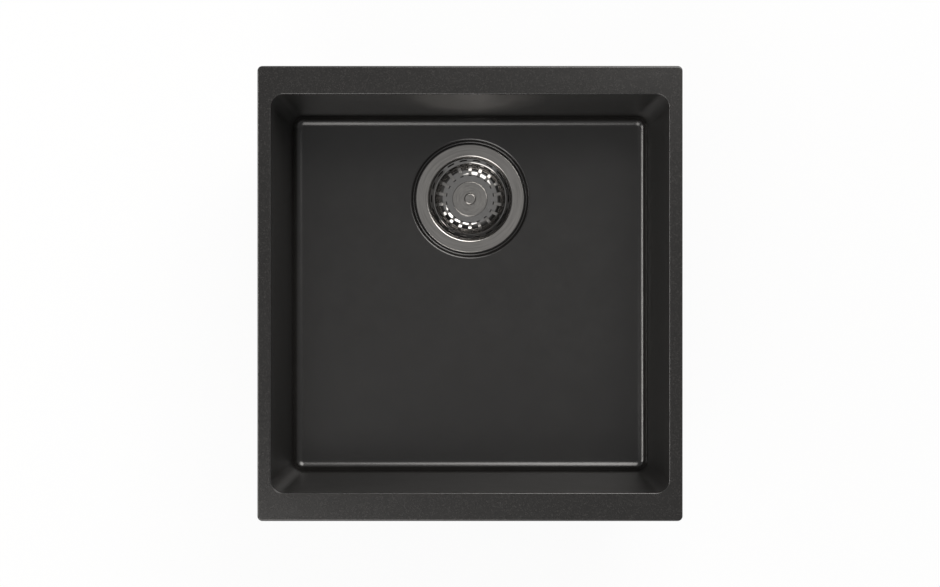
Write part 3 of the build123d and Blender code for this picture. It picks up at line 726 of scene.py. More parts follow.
# Shares of the patterns in brushed steel's streaks, shade and roughness
FINE_RINGS, COARSE_RINGS = 0.55, 0.45
STREAK_SHADE = 0.72
STREAK_SPREAD, BROAD_SPREAD = 0.10, 0.03


def brushed_finish(name, tint, roughness, depth):
    """Steel brushed in rings round the drain: noise drawn out along rings shades and scores it."""
    finish = Finish(name)
    radius, cosine, sine = drain_polar(finish)

    def rings(lines, spread):
        """Noise with so many rings to the metre, which change slowly round the drain."""
        spot = {0: radius * lines, 1: cosine * spread, 2: sine * spread}
        rolled = finish.node("ShaderNodeCombineXYZ", None, spot).outputs[0]
        return finish.noise(rolled, scale=1.0, detail=3, roughness=0.65)

    fine = rings(lines=2600, spread=2.2)
    coarse = rings(lines=650, spread=1.2)
    broad = finish.noise(finish.place(), scale=70, detail=2, roughness=0.5)
    streak = fine * FINE_RINGS + coarse * COARSE_RINGS
    bright = finish.between(streak, low=0.3, high=0.65)
    return finish.surface(
        Base_Color=finish.blend(bright, dimmed(tint, STREAK_SHADE), tint),
        Metallic=1.0,
        Roughness=streak * STREAK_SPREAD + broad * BROAD_SPREAD + roughness,
        Anisotropic=0.1,
        Normal=finish.relief(streak, distance=depth, strength=0.5),
    )


MARK_SHADE = 0.9
MARK_SPREAD, GRAIN_SPREAD = 0.05, 0.02


def polished_finish(name, tint, roughness):
    """Bright steel with faint water marks."""
    finish = Finish(name)
    place = finish.place()
    marks = finish.noise(place, scale=210, detail=4, roughness=0.6)
    grain = finish.noise(place, scale=2600, detail=2, roughness=0.5)
    dull = finish.between(marks, low=0.35, high=0.75)
    return finish.surface(
        Base_Color=finish.blend(marks, dimmed(tint, MARK_SHADE), tint),
        Metallic=1.0,
        Roughness=dull * MARK_SPREAD + grain * GRAIN_SPREAD + roughness,
        Normal=finish.relief(grain, distance=0.000002, strength=0.25),
    )


PATCH_SHADE = 0.78
PATCH_SPREAD, BLOOM_SPREAD = 0.16, 0.08


def zinc_finish(settings):
    """Plated steel: a crystalline bloom with dull patches."""
    finish = Finish("zinc")
    place = finish.place()
    bloom = Value(finish, finish.cells(place, scale=700)["Distance"])
    patch = finish.noise(place, scale=130, detail=4, roughness=0.6)
    return finish.surface(
        Base_Color=finish.blend(patch, dimmed(settings.zinc, PATCH_SHADE), settings.zinc),
        Metallic=1.0,
        Roughness=patch * PATCH_SPREAD + bloom * BLOOM_SPREAD + settings.zinc_roughness,
        Normal=finish.relief(bloom, distance=0.00001, strength=0.4),
    )


DUST_LIGHT = 0.012
DUST_SPREAD = 0.15


def rubber_finish(settings):
    """Moulded rubber with a dusty bloom."""
    finish = Finish("rubber")
    place = finish.place()
    dust = finish.noise(place, scale=160, detail=4, roughness=0.6)
    pores = finish.noise(place, scale=2800, detail=2, roughness=0.6)
    dusty = finish.between(dust, low=0.45, high=0.8)
    return finish.surface(
        Base_Color=finish.blend(dusty, settings.rubber, lifted(settings.rubber, DUST_LIGHT)),
        Roughness=dust * DUST_SPREAD + settings.rubber_roughness,
        Normal=finish.relief(pores, distance=0.00002, strength=0.4),
    )


FLOW_LIGHT = 0.010
MOULD_SPREAD, FLOW_SPREAD = 0.10, 0.06


def plastic_finish(settings):
    """Black polypropylene with a spark-eroded grain and faint flow marks."""
    finish = Finish("plastic")
    place = finish.place()
    grain = finish.noise(place, scale=2200, detail=3, roughness=0.6)
    flow = finish.noise(place, scale=38, detail=3, roughness=0.5)
    return finish.surface(
        Base_Color=finish.blend(flow, settings.plastic, lifted(settings.plastic, FLOW_LIGHT)),
        Roughness=grain * MOULD_SPREAD + flow * FLOW_SPREAD + settings.plastic_roughness,
        Normal=finish.relief(grain, distance=0.00003, strength=0.45),
    )


FLANGE_SCORE = 0.000005
CAP_SCORE = 0.000006


def finish_of(name):
    """Material of a finish, made the first time that it is asked for."""
    settings = bpy.context.scene.sink_finishes
    steel = settings.flange_steel
    makers = {
        "granite": lambda: granite_finish(settings),
        "flange_steel": lambda: brushed_finish(name, steel, settings.flange_roughness, FLANGE_SCORE),
        "cap_steel": lambda: brushed_finish(name, steel, settings.cap_roughness, CAP_SCORE),
        "basket_steel": lambda: polished_finish(name, settings.basket_steel, settings.basket_roughness),
        "screw_steel": lambda: polished_finish(name, settings.screw_steel, settings.screw_roughness),
        "zinc": lambda: zinc_finish(settings),
        "brass": lambda: polished_finish(name, settings.brass, settings.brass_roughness),
        "rubber": lambda: rubber_finish(settings),
        "plastic": lambda: plastic_finish(settings),
    }
    return bpy.data.materials.get(f"{name}_finish") or makers[name]()


def finish_nodes(finish, *nodes):
    """Gives nodes of the frame a finish in place of their plain one."""
    for node in nodes:
        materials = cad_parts[node].data.materials
        materials.clear()
        materials.append(finish_of(finish))


SIDE_POINTS = 48
CORNER_POINTS = 13
EDGE_POINTS = 9
FLOOR_BEND_POINTS = 25
BASE_BEND_POINTS = 15
MEETING_ROUNDS = 4
END_SHARE = 0.002
WALL_SHARES = np.array([0.005, 0.35, 0.7, 0.995])[:, None, None]
FLOOR_SHARES = np.array([0.01, 0.06, 0.18, 0.35, 0.55, 0.75, 0.9, 0.97])[:, None, None]

# Run that leads to a rounded edge, as a multiple of the edge's radius
RECESS_LEAD = 1.5
RIM_LEAD = 2
OPENING_LEAD = 4


def side_shares(span, steps):
    """Places along the bowl's four sides, as shares of a side, at even angles seen from the drain.

    A side at distance d from the drain that runs past it from a to b has its points at d times the
    tangent of even angles from arctan(a / d) to arctan(b / d), and one more point near either end.
    """
    x, y = DRAIN[:2]
    sides = []
    for along, across in ((y, x), (-x, y), (-y, -x), (x, -y)):
        start, end, away = -span - along, span - along, span - across
        even = np.linspace(np.arctan2(start, away), np.arctan2(end, away), steps)[1:-1]
        inner = (away * np.tan(even) - start) / (end - start)
        sides.append(np.concatenate([[END_SHARE], inner, [1 - END_SHARE]]))
    return sides


def drain_path(sizes, floor_at):
    """Outline of the drain in (r, z): down the recess and its step to the hole, and out round the pad.

    The recess wall r = root + (z - step) tan(lean) meets the floor z = floor + r tan(fall) at its edge.
    """
    floor = floor_at(0)
    ledge = floor - sizes.recess_depth
    step = ledge + sizes.step_height
    foot = reach("strainer_flange") + sizes.recess_gap
    lip = foot + sizes.step_height * tan(sizes.step_lean)
    root = lip + sizes.step_width
    lean = tan(sizes.recess_lean)
    edge = (root + (floor - step) * lean) / (1 - lean * tan(sizes.fall))
    start = edge + RECESS_LEAD * sizes.recess_edge
    pad = reach("strainer_flange") + sizes.pad_lap
    under = floor - sizes.floor
    pad_under = under - sizes.pad_height
    corners = [
        (start, floor_at(start)),
        (edge, floor_at(edge)),
        (root, step),
        (lip, step),
        (foot, ledge),
        (sizes.hole, ledge),
        (sizes.hole, pad_under),
        (pad - sizes.pad_edge, pad_under),
        (pad, pad_under + sizes.pad_edge),
        (pad, under),
    ]
    bends = [sizes.recess_edge, sizes.recess_base, sizes.step_edge, *[sizes.break_edge] * 5]
    return bent_path(corners, bends, EDGE_POINTS)


def bowl_grid(sizes):
    """Whole moulding as one grid that closes both ways.

    Its rows are rounded rectangles up the rim, over its top, down the leaning wall and round the hollow
    at the floor, then go over to circles on the floor, which is a wide cone about the drain, pass
    through the drain hole, go back to rounded rectangles on the underside and climb the outside of the
    wall to the rim again.
    """
    rim_x, rim_y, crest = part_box("sink_bowl")[1]
    open_x, open_y = rim_x - sizes.side_rim, rim_y - sizes.end_rim
    floor = crest - sizes.depth
    under = floor - sizes.floor
    lean = tan(sizes.draft)
    ring = rounded_ring(side_shares(min(open_x, open_y), SIDE_POINTS), CORNER_POINTS)
    outward = raised(ring[1][None], np.zeros(1))[0]

    def wall_at(z, outset):
        """Wall's outlines at heights, moved outwards, with corners that widen evenly up the wall."""
        inset = (crest - z) * lean - outset
        climb = (z - under) / (crest - under)
        corner = sizes.base_corner + (sizes.corner - sizes.base_corner) * climb + outset
        return raised(on_ring(ring, open_x - inset, open_y - inset, corner), z)

    def floor_at(radius):
        """Floor's height at a distance from the drain."""
        return floor + radius * tan(sizes.fall)

    def on_floor(points):
        """Points moved up or down to the floor."""
        away = np.linalg.norm(points[..., :2] - DRAIN[:2], axis=-1)
        return np.dstack([points[..., :2], floor_at(away)])

    corners = [(0, crest - sizes.rim), (0, crest), (RIM_LEAD * sizes.rim_edge, crest)]
    inset, z = bent_path(corners, [sizes.rim_edge], EDGE_POINTS).T
    rim = raised(on_ring(ring, rim_x - inset, rim_y - inset, sizes.rim_corner - inset), z)

    drop = OPENING_LEAD * sizes.opening_edge
    corners = [(drop, crest), (0, crest), (-drop * lean, crest - drop)]
    outset, z = bent_path(corners, [sizes.opening_edge], EDGE_POINTS).T
    opening = wall_at(z, outset + (crest - z) * lean)

    upper, lower = wall_at(np.array([crest, under]), np.zeros(2))
    meeting = lower
    for _ in range(MEETING_ROUNDS):
        share = (crest - on_floor(meeting[None])[0, :, 2:]) / (crest - under)
        meeting = upper + (lower - upper) * share
    inside = on_floor((meeting - outward * sizes.floor_bend)[None])[0]
    hollow = arc_between(meeting, upper, inside, sizes.floor_bend, FLOOR_BEND_POINTS)
    wall = opening[-1] + WALL_SHARES * (hollow[0] - opening[-1])

    bearing = np.arctan2(*(hollow[-1] - DRAIN).T[1::-1])
    path = drain_path(sizes, floor_at)
    around = np.column_stack([np.cos(bearing), np.sin(bearing)])
    drain = raised(DRAIN[:2] + path[:, :1, None] * around, path[:, 1])
    floor_rows = on_floor(hollow[-1] + FLOOR_SHARES * (drain[0] - hollow[-1]))

    foot, root = wall_at(np.array([under, crest - sizes.rim]), np.full(2, sizes.wall))
    base = arc_between(foot, foot - outward * sizes.base_bend, root, sizes.base_bend, BASE_BEND_POINTS)
    underside = drain[-1] + WALL_SHARES * (base[0] - drain[-1])
    outside = base[-1] + WALL_SHARES * (root - base[-1])
    inner_rows = [rim, opening, wall, hollow, floor_rows, drain]
    return np.concatenate([*inner_rows, underside, base, outside, root[None]])


class SINK_OT_bowl(Operator):
    """Make the moulded bowl"""

    bl_idname = "sink.bowl"
    bl_label = "Granite bowl"

    def execute(self, context):
        grid = bowl_grid(context.scene.sink_bowl)
        quads = grid_quads(*grid.shape[:2], wrap_rows=True)
        bowl = make_piece("granite_bowl", grid.reshape(-1, 3), [quads], finish_of("granite"))
        seat_piece(bowl, "sink", "granite", "sink_bowl")
        return {"FINISHED"}


def strainer_corners(sizes):
    """Corners of the strainer's upper face, from the flange's edge to the end of the throat."""
    lip = reach("basket_cup") + sizes.rim_gap
    cup = lip - sizes.joggle
    throat = reach("stopper_seal") - sizes.seal_lap - sizes.throat_bend
    flange_top = top("strainer_flange")
    step = top("basket_cup") - bpy.context.scene.sink_basket.sheet - sizes.joggle_gap
    seat = top("stopper_seal") - sizes.seal_lip
    return [
        (reach("strainer_flange"), flange_top),
        (lip, flange_top),
        (lip, step),
        (cup, step - sizes.joggle),
        (cup, seat),
        (throat, seat),
        (throat, bottom("strainer_flange")),
    ]


STRAINER_COLUMNS = 192
SPOKE_POINTS = 9
GAP_POINTS = 10


def spider_grid(sizes, spoke_end):
    """Grid of the spider seen from above: rows at the bore, the hub's edge and the spokes' ends.

    A spoke's columns lie at angles whose sine is up to half its width over the row's radius, or over
    the hub's inside the hub, so its sides are parallel, and the columns between two spokes are the hub
    alone.
    """
    half = sizes.spoke_width / 2
    across = np.linspace(-1, 1, SPOKE_POINTS)
    between = np.linspace(0, 1, GAP_POINTS)[1:-1]
    rows = []
    for radius in (sizes.hub_bore, sizes.hub, spoke_end):
        edge = np.arcsin(half / max(radius, sizes.hub))
        sector = np.concatenate([edge * across, edge + (TURN / sizes.spokes - 2 * edge) * between])
        angles = np.concatenate([sector + turn for turn in circle_of(sizes.spokes)])
        rows.append(np.column_stack([radius * np.cos(angles), radius * np.sin(angles)]))
    in_spoke = np.arange(len(sector)) < len(across) - 1
    keep = np.stack([np.ones(len(angles), bool), np.tile(in_spoke, sizes.spokes)])
    return np.stack(rows), keep


class SINK_OT_strainer(Operator):
    """Make the pressed strainer with the spider across its throat"""

    bl_idname = "sink.strainer"
    bl_label = "Strainer"

    def execute(self, context):
        sizes = context.scene.sink_strainer
        corners = strainer_corners(sizes)
        bends = [
            sizes.lip_bend,
            sizes.joggle_bend,
            sizes.sheet + sizes.joggle_bend,
            sizes.cup_bend,
            sizes.throat_bend,
        ]
        under = left_of(bent_path(corners, bends), sizes.sheet)
        face = bent_path([under[0], *corners], [sizes.edge, *bends])
        outline = np.concatenate([face[1:], under[::-1]])
        cup = turned_piece("strainer_cup", outline, DRAIN, STRAINER_COLUMNS, finish_of("flange_steel"))
        seat_piece(cup, "sink", "strainer_steel", "strainer_flange")

        flat, keep = spider_grid(sizes, corners[-1][0] + sizes.sheet / 2)
        level = np.full(len(flat), bottom("strainer_flange"))
        lower = raised(flat + DRAIN[:2], level)
        upper = raised(flat + DRAIN[:2], level + sizes.spoke_thickness)
        spider = holed_sheet("strainer_spider", upper, lower, keep, finish_of("screw_steel"))
        seat_piece(spider, "sink", "strainer_steel", "strainer_flange")
        return {"FINISHED"}


# Points along the stretches of the basket's profile, from its rim to its stem hole
RIM_SLOT_POINTS = 9
LEDGE_POINTS = 4
RIM_BEND_POINTS = 12
WALL_POINTS = 6
SLOT_CORNER_POINTS = 6
HOLLOW_POINTS = 16
BOTTOM_POINTS = 5
CAP_POINTS = 6
CAP_LEAD = 1 / 3


def basket_stations(sizes):
    """Upper face of the basket's sheet from the rim to the stem hole, with rows at the slots' ends.

    Returns the (r, z) rows, and for each of the two kinds of slot the depth of a row inside the slot,
    measured from its nearer end, which is negative outside it.
    """
    slope = tan(sizes.rim_slope)
    rim = reach("basket_cup") - sizes.sheet * sin(sizes.rim_slope)
    wall = rim - sizes.rim_width
    high = top("basket_cup")
    low = bottom("basket_cup") + sizes.sheet
    inner = reach("basket_cap") + sizes.cap_gap
    outer = wall - sizes.wall_gap
    rim_outer = rim - sizes.rim_slot_edge
    rim_inner = rim_outer - sizes.rim_slot_width
    ease = (1 - np.cos(np.linspace(0, pi / 2, SLOT_CORNER_POINTS))) * sizes.slot_corner
    rim_ease = (1 - np.cos(np.linspace(0, pi, RIM_SLOT_POINTS))) / 2
    centre = np.array([wall - sizes.bend, low + sizes.bend])

    def on_arc(turn):
        """Points of the hollow's arc at angles down from its wall."""
        return centre + sizes.bend * np.column_stack([np.cos(turn), -np.sin(turn)])

    def on_hollow(r):
        """Points at radii: on the arc outside its centre, and on the flat bottom inside it."""
        reached = np.clip(r - centre[0], 0, sizes.bend)
        return np.column_stack([r, centre[1] - np.sqrt(sizes.bend**2 - reached**2)])

    ledge = np.array([wall + sizes.ledge, high - (sizes.rim_width - sizes.ledge) * slope])
    foot = np.array([wall, ledge[1] - sizes.ledge * tan(sizes.ledge_slope)])
    hollow = arc_between(ledge, np.array([rim, high]), foot, sizes.ledge_bend, LEDGE_POINTS)
    bend = arc_between(foot, ledge, centre + np.array([sizes.bend, 0]), sizes.rim_bend, RIM_BEND_POINTS)
    rim_r = np.concatenate([
        [rim, rim - sizes.rim_slot_edge / 2],
        rim_outer - rim_ease * sizes.rim_slot_width,
        [(rim_inner + hollow[0, 0]) / 2],
    ])
    slot_top = outer - ease
    slot_foot = inner + ease[::-1]
    start, corner_end = np.arccos((np.array([outer, slot_top[-1]]) - centre[0]) / sizes.bend)
    bottom_r = np.linspace(centre[0], slot_foot[0], BOTTOM_POINTS)[1:-1]
    under_cap = np.linspace(reach("basket_cap"), sizes.stem_hole, CAP_POINTS)
    hub = np.concatenate([[inner - CAP_LEAD * sizes.cap_gap], under_cap])
    rows = np.concatenate([
        np.column_stack([rim_r, high - (rim - rim_r) * slope]),
        hollow,
        bend,
        on_arc(np.linspace(0, start, WALL_POINTS)[:-1]),
        on_hollow(slot_top),
        on_arc(np.linspace(corner_end, pi / 2, HOLLOW_POINTS)[1:]),
        on_hollow(np.concatenate([bottom_r, slot_foot, hub])),
    ])
    r = rows[:, 0]
    on_rim = np.arange(len(r)) < len(rim_r)
    slot_depth = np.where(on_rim, -1, np.minimum(outer - r, r - inner))
    rim_depth = np.where(on_rim, np.minimum(rim_outer - r, r - rim_inner), -1)
    return rows, slot_depth, rim_depth


# Half a sector has three stretches: in line with a rim slot, clear of both slots, and in a wall slot
STRETCH_POINTS = (5, 3, 4)
SECTOR_STOPS = np.concatenate([
    np.linspace(stretch, stretch + 1, points)[:-1] for stretch, points in enumerate(STRETCH_POINTS)
])
CLEAR_STRETCH, SLOT_STRETCH = 1, 2
RIM_SLOT_LIMIT = 0.8


def basket_grid(sizes):
    """Points of the basket's upper face and the cells that its slots leave.

    In every sector of the circle the columns run from the middle of a bar over the edge of a rim slot
    and the edge of a wall slot to the middle of that slot, and back. A row inside a slot moves its edge
    column to half the slot's width there, which narrows along a quarter circle in the corners.
    """
    rows, slot_depth, rim_depth = basket_stations(sizes)
    r = rows[:, 0]
    half_sector = pi / sizes.slots

    def half_width(width, corner, depth):
        """Half of a slot's width at a depth from its end."""
        inset = np.clip(corner - depth, 0, corner)
        return width / 2 - corner + np.sqrt(corner**2 - inset**2)

    nearer = np.maximum(r, reach("basket_cap"))
    half_slot = half_width(sizes.slot_width, sizes.slot_corner, slot_depth)
    half_rim_slot = half_width(sizes.rim_slot_length, sizes.rim_slot_width / 2, rim_depth)
    slot_edge = half_sector - np.arcsin(half_slot / nearer)
    rim_edge = np.minimum(half_rim_slot / nearer, RIM_SLOT_LIMIT * slot_edge)
    stops = np.stack([0 * r, rim_edge, slot_edge, half_sector + 0 * r], axis=1)
    before = SECTOR_STOPS.astype(int)
    part = SECTOR_STOPS - before
    half = stops[:, before] * (1 - part) + stops[:, before + 1] * part
    sector = np.concatenate([half, stops[:, -1:], 2 * half_sector - half[:, :0:-1]], axis=1)
    angles = (sector[:, None] + circle_of(sizes.slots)[:, None]).reshape(len(r), -1)
    column = np.minimum(np.arange(sector.shape[1]), np.arange(sector.shape[1])[::-1])
    in_slot = column >= np.argmax(before >= SLOT_STRETCH)
    in_rim_slot = column < np.argmax(before >= CLEAR_STRETCH)
    within = np.minimum(slot_depth[:-1], slot_depth[1:]) > -TINY
    within_rim = np.minimum(rim_depth[:-1], rim_depth[1:]) > -TINY
    holes = within[:, None] & in_slot | within_rim[:, None] & in_rim_slot
    return rows, angles, ~np.tile(holes, (1, sizes.slots))


class SINK_OT_basket(Operator):
    """Make the slotted basket, and finish what hangs from it"""

    bl_idname = "sink.basket"
    bl_label = "Basket"

    def execute(self, context):
        sizes = context.scene.sink_basket
        rows, angles, keep = basket_grid(sizes)

        def skin(profile):
            """Profile carried round the drain through the columns' angles."""
            x = DRAIN[0] + profile[:, :1] * np.cos(angles)
            y = DRAIN[1] + profile[:, :1] * np.sin(angles)
            return np.stack([x, y, np.broadcast_to(profile[:, 1:], x.shape)], axis=2)

        under = left_of(rows, sizes.sheet)
        upper, lower = skin(rows)[::-1], skin(under)[::-1]
        basket = holed_sheet("basket_sheet", upper, lower, keep[::-1], finish_of("basket_steel"))
        round_edges(basket, sizes.edge)
        seat_piece(basket, "basket", "basket_steel", "basket_cup")
        finish_nodes("cap_steel", "basket_cap", "basket_knob")
        finish_nodes("basket_steel", "seal_plate")
        finish_nodes("screw_steel", "basket_stem", "stem_nut")
        finish_nodes("rubber", "stopper_seal", "detent_ring")
        return {"FINISHED"}


RIDGE_STRETCH = 1.3


def ridge(turns):
    """Thread form from 0 at the root to 1 at the crest, for a count of turns.

    It is a triangle wave, stretched about its middle and cut flat at the root and the crest.
    """
    wave = np.abs(turns % 1 - 0.5) - 0.25
    return np.clip(0.5 + 2 * RIDGE_STRETCH * wave, 0, 1)


def fins(outline, thickness, count, first, centre):
    """Plates of one (r, z) outline, a thickness wide, set round the upright axis.

    A corner (r, z) on the side s of a plate at angle a lies at r (cos a, sin a) + s (-sin a, cos a).
    """
    outline = np.array(outline)
    corners = len(outline)
    angles = (circle_of(count) + first)[:, None, None]
    side = np.array([-0.5, 0.5])[None, :, None] * thickness
    r = outline[None, None, :, 0]
    x = centre[0] + r * np.cos(angles) - side * np.sin(angles)
    y = centre[1] + r * np.sin(angles) + side * np.cos(angles)
    z = np.broadcast_to(outline[None, None, :, 1], x.shape)
    points = np.stack([x, y, z], axis=3).reshape(-1, 3)
    base = np.arange(count)[:, None] * 2 * corners
    ends = np.concatenate([base + np.arange(corners), base + corners + np.arange(corners)[::-1]])
    edge = np.arange(corners)
    following = np.roll(edge, -1)
    sides = np.stack([edge, edge + corners, following + corners, following], axis=1)
    return points, [ends, (base[:, :, None] + sides[None]).reshape(-1, 4)]


WASTE_COLUMNS = 144
WASTE_BEND_POINTS = 7
WASTE_THREAD_ROWS = 8
BOSS_COLUMNS = 64
BOSS_EDGE_POINTS = 5


class SINK_OT_waste(Operator):
    """Make the moulded waste body with its threaded outlet, and finish what clamps it"""

    bl_idname = "sink.waste"
    bl_label = "Waste body"

    def funnel(self, sizes):
        """Ring of the funnel's outside and inside, with a thread cut into the outlet.

        The outlet's radius at height z and angle a is the crest less the depth times 1 minus the ridge
        form of z / pitch - a / turn, and the depth fades out over a turn at both ends of the thread.
        """
        low, high = bottom("waste_body"), top("waste_body")
        flange = reach("waste_body")
        under = high - sizes.flange
        funnel_end = low + sizes.outlet_length
        funnel_top = funnel_end + sizes.funnel
        outside = sizes.cup + sizes.wall
        thread_top = funnel_end - sizes.thread_start
        thread_end = low + sizes.outlet_edge
        heights = np.arange(thread_top, thread_end, -sizes.thread_pitch / WASTE_THREAD_ROWS)
        outlet = np.column_stack([np.full(len(heights), sizes.outlet), heights])
        corners = [
            (flange, high),
            (flange, under),
            (outside, under),
            (outside, funnel_top),
            (sizes.outlet, funnel_end),
            (sizes.outlet, thread_top),
        ]
        bends = [sizes.flange_edge, sizes.flange_root, sizes.cup_bend, sizes.neck_bend]
        neck = bent_path(corners, bends, WASTE_BEND_POINTS)
        corners = [
            (sizes.bore, low),
            (sizes.bore, funnel_end),
            (sizes.cup, funnel_top),
            (sizes.cup, high),
        ]
        inside = bent_path(corners, [sizes.neck_bend, sizes.cup_bend], WASTE_BEND_POINTS)
        tip = np.array([(sizes.outlet, thread_end), (sizes.outlet - sizes.outlet_edge, low)])
        outline = np.concatenate([neck[:-1], outlet, tip, inside])
        points = carried_round(outline, DRAIN, WASTE_COLUMNS)
        angles = circle_of(WASTE_COLUMNS)
        rows = slice(len(neck) - 1, len(neck) - 1 + len(heights))
        inwards = np.minimum(thread_top - heights, heights - thread_end)
        fade = np.clip(inwards / sizes.thread_pitch, 0, 1)[:, None]
        form = ridge(heights[:, None] / sizes.thread_pitch - angles / TURN)
        radius = sizes.outlet - sizes.thread_depth * fade * (1 - form)
        points[rows, :, 0] = DRAIN[0] + radius * np.cos(angles)
        points[rows, :, 1] = DRAIN[1] + radius * np.sin(angles)
        quads = grid_quads(len(outline), WASTE_COLUMNS, wrap_rows=True)
        piece = make_piece("waste_funnel", points[::-1].reshape(-1, 3), [quads], finish_of("plastic"))
        seat_piece(piece, "sink", "waste_plastic", "waste_body")

    def ribs(self, sizes):
        """Gussets under the flange, and webs that carry the boss, both rooted in the wall's middle."""
        under = top("waste_body") - sizes.flange
        funnel_end = bottom("waste_body") + sizes.outlet_length
        funnel_top = funnel_end + sizes.funnel
        root = sizes.wall / 2
        outside = sizes.cup + sizes.wall
        half_height = (funnel_top + funnel_end) / 2
        half_width = (outside + sizes.outlet) / 2
        gusset = [
            (outside - root, under + root),
            (outside - root, funnel_top),
            (half_width - root, half_height),
            (half_width, half_height),
            (reach("waste_body") - sizes.gusset_inset, under),
            (reach("waste_body") - sizes.gusset_inset, under + root),
        ]
        boss_top = top("screw_insert")
        boss_end = bottom("screw_insert") - sizes.boss_floor
        slope = (sizes.cup - sizes.bore) / sizes.funnel
        web = [
            (sizes.boss - root, boss_end),
            (sizes.bore + slope * (boss_end - funnel_end) + root, boss_end),
            (sizes.bore + slope * (boss_top - funnel_end) + root, boss_top),
            (sizes.boss - root, boss_top),
        ]
        for name, outline, count, first in (
            ("waste_gussets", gusset, sizes.gussets, 0.0),
            ("waste_webs", web, sizes.webs, pi / sizes.webs),
        ):
            points, faces = fins(outline, sizes.rib, count, first, DRAIN)
            piece = make_piece(name, points, faces, finish_of("plastic"))
            seat_piece(piece, "sink", "waste_plastic", "waste_body")

    def boss(self, sizes):
        """Blind boss: its profile climbs the outside and goes down the bore, and both ends are closed."""
        high, floor = top("screw_insert"), bottom("screw_insert")
        corners = [
            (sizes.boss, floor - sizes.boss_floor),
            (sizes.boss, high),
            (sizes.boss_bore, high),
            (sizes.boss_bore, floor),
        ]
        profile = bent_path(corners, [sizes.boss_edge, sizes.boss_mouth], BOSS_EDGE_POINTS)
        points, faces = capped(carried_round(profile, DRAIN, BOSS_COLUMNS))
        piece = make_piece("waste_boss", points, faces, finish_of("plastic"))
        seat_piece(piece, "sink", "waste_plastic", "waste_body")

    def execute(self, context):
        sizes = context.scene.sink_waste
        self.funnel(sizes)
        self.ribs(sizes)
        self.boss(sizes)
        finish_nodes("rubber", "flange_gasket", "body_gasket")
        finish_nodes("brass", "screw_insert")
        finish_nodes("screw_steel", "clamp_screw")
        return {"FINISHED"}


BOLT_COLUMNS = 36
BOLT_THREAD_ROWS = 6
HALF_FLAT = TURN / 12
HEAD_RISE = np.array([0, 0.6, 0.75, 0.9, 1])[:, None]
HEAD_FACE = 0.92
DOME_SWING = np.linspace(0.42 * pi, 0, 6)[:, None]
DOME_CORE = 0.3


def bolt(head, head_height, shank, drop, pitch, depth, end, end_height):
    """Bolt along Z with its head up and its seat at height 0, as a grid of heights by angles.

    The head's radius is the lesser of a hexagon, apothem / cos(a mod 60 - 30), and a cone that breaks
    its corners. The shank's radius is its crest less the depth times 1 minus the ridge form of
    z / pitch - a / turn, and the depth fades out over a turn at both ends. The end is a low dome.
    """
    angles = circle_of(BOLT_COLUMNS)
    apothem = head * cos(HALF_FLAT)
    hexagon = apothem / np.cos(angles % (2 * HALF_FLAT) - HALF_FLAT)
    rise = head_height * HEAD_RISE
    cone = HEAD_FACE * apothem + (head_height - rise) / tan(HALF_FLAT)
    climb = np.linspace(-drop, 0, int(BOLT_THREAD_ROWS * drop / pitch))[:, None]
    fade = np.clip(np.minimum(climb + drop, -climb) / pitch, 0, 1)
    thread = shank - depth * fade * (1 - ridge(climb / pitch - angles / TURN))
    dome = end * (DOME_CORE + (1 - DOME_CORE) * np.cos(DOME_SWING))
    radius = np.concatenate([dome + 0 * angles, thread, np.minimum(hexagon, cone)])
    tip = -drop - end_height * np.sin(DOME_SWING) / np.sin(DOME_SWING[0])
    height = np.concatenate([tip, climb, rise])
    return np.stack([radius * np.cos(angles), radius * np.sin(angles), height + 0 * radius], axis=2)


def wall_turn(side):
    """Matrix that takes Y to Z, and Z to the outside of the back wall, side 1, or the front one, -1."""
    return np.array([(-side, 0, 0), (0, 0, side), (0, 1, 0)], float)


PAD_EDGE_POINTS = 4
PAD_CORNER_POINTS = 7
PAD_LEAD = 4
NO_SIDE_POINTS = [np.empty(0)] * 4


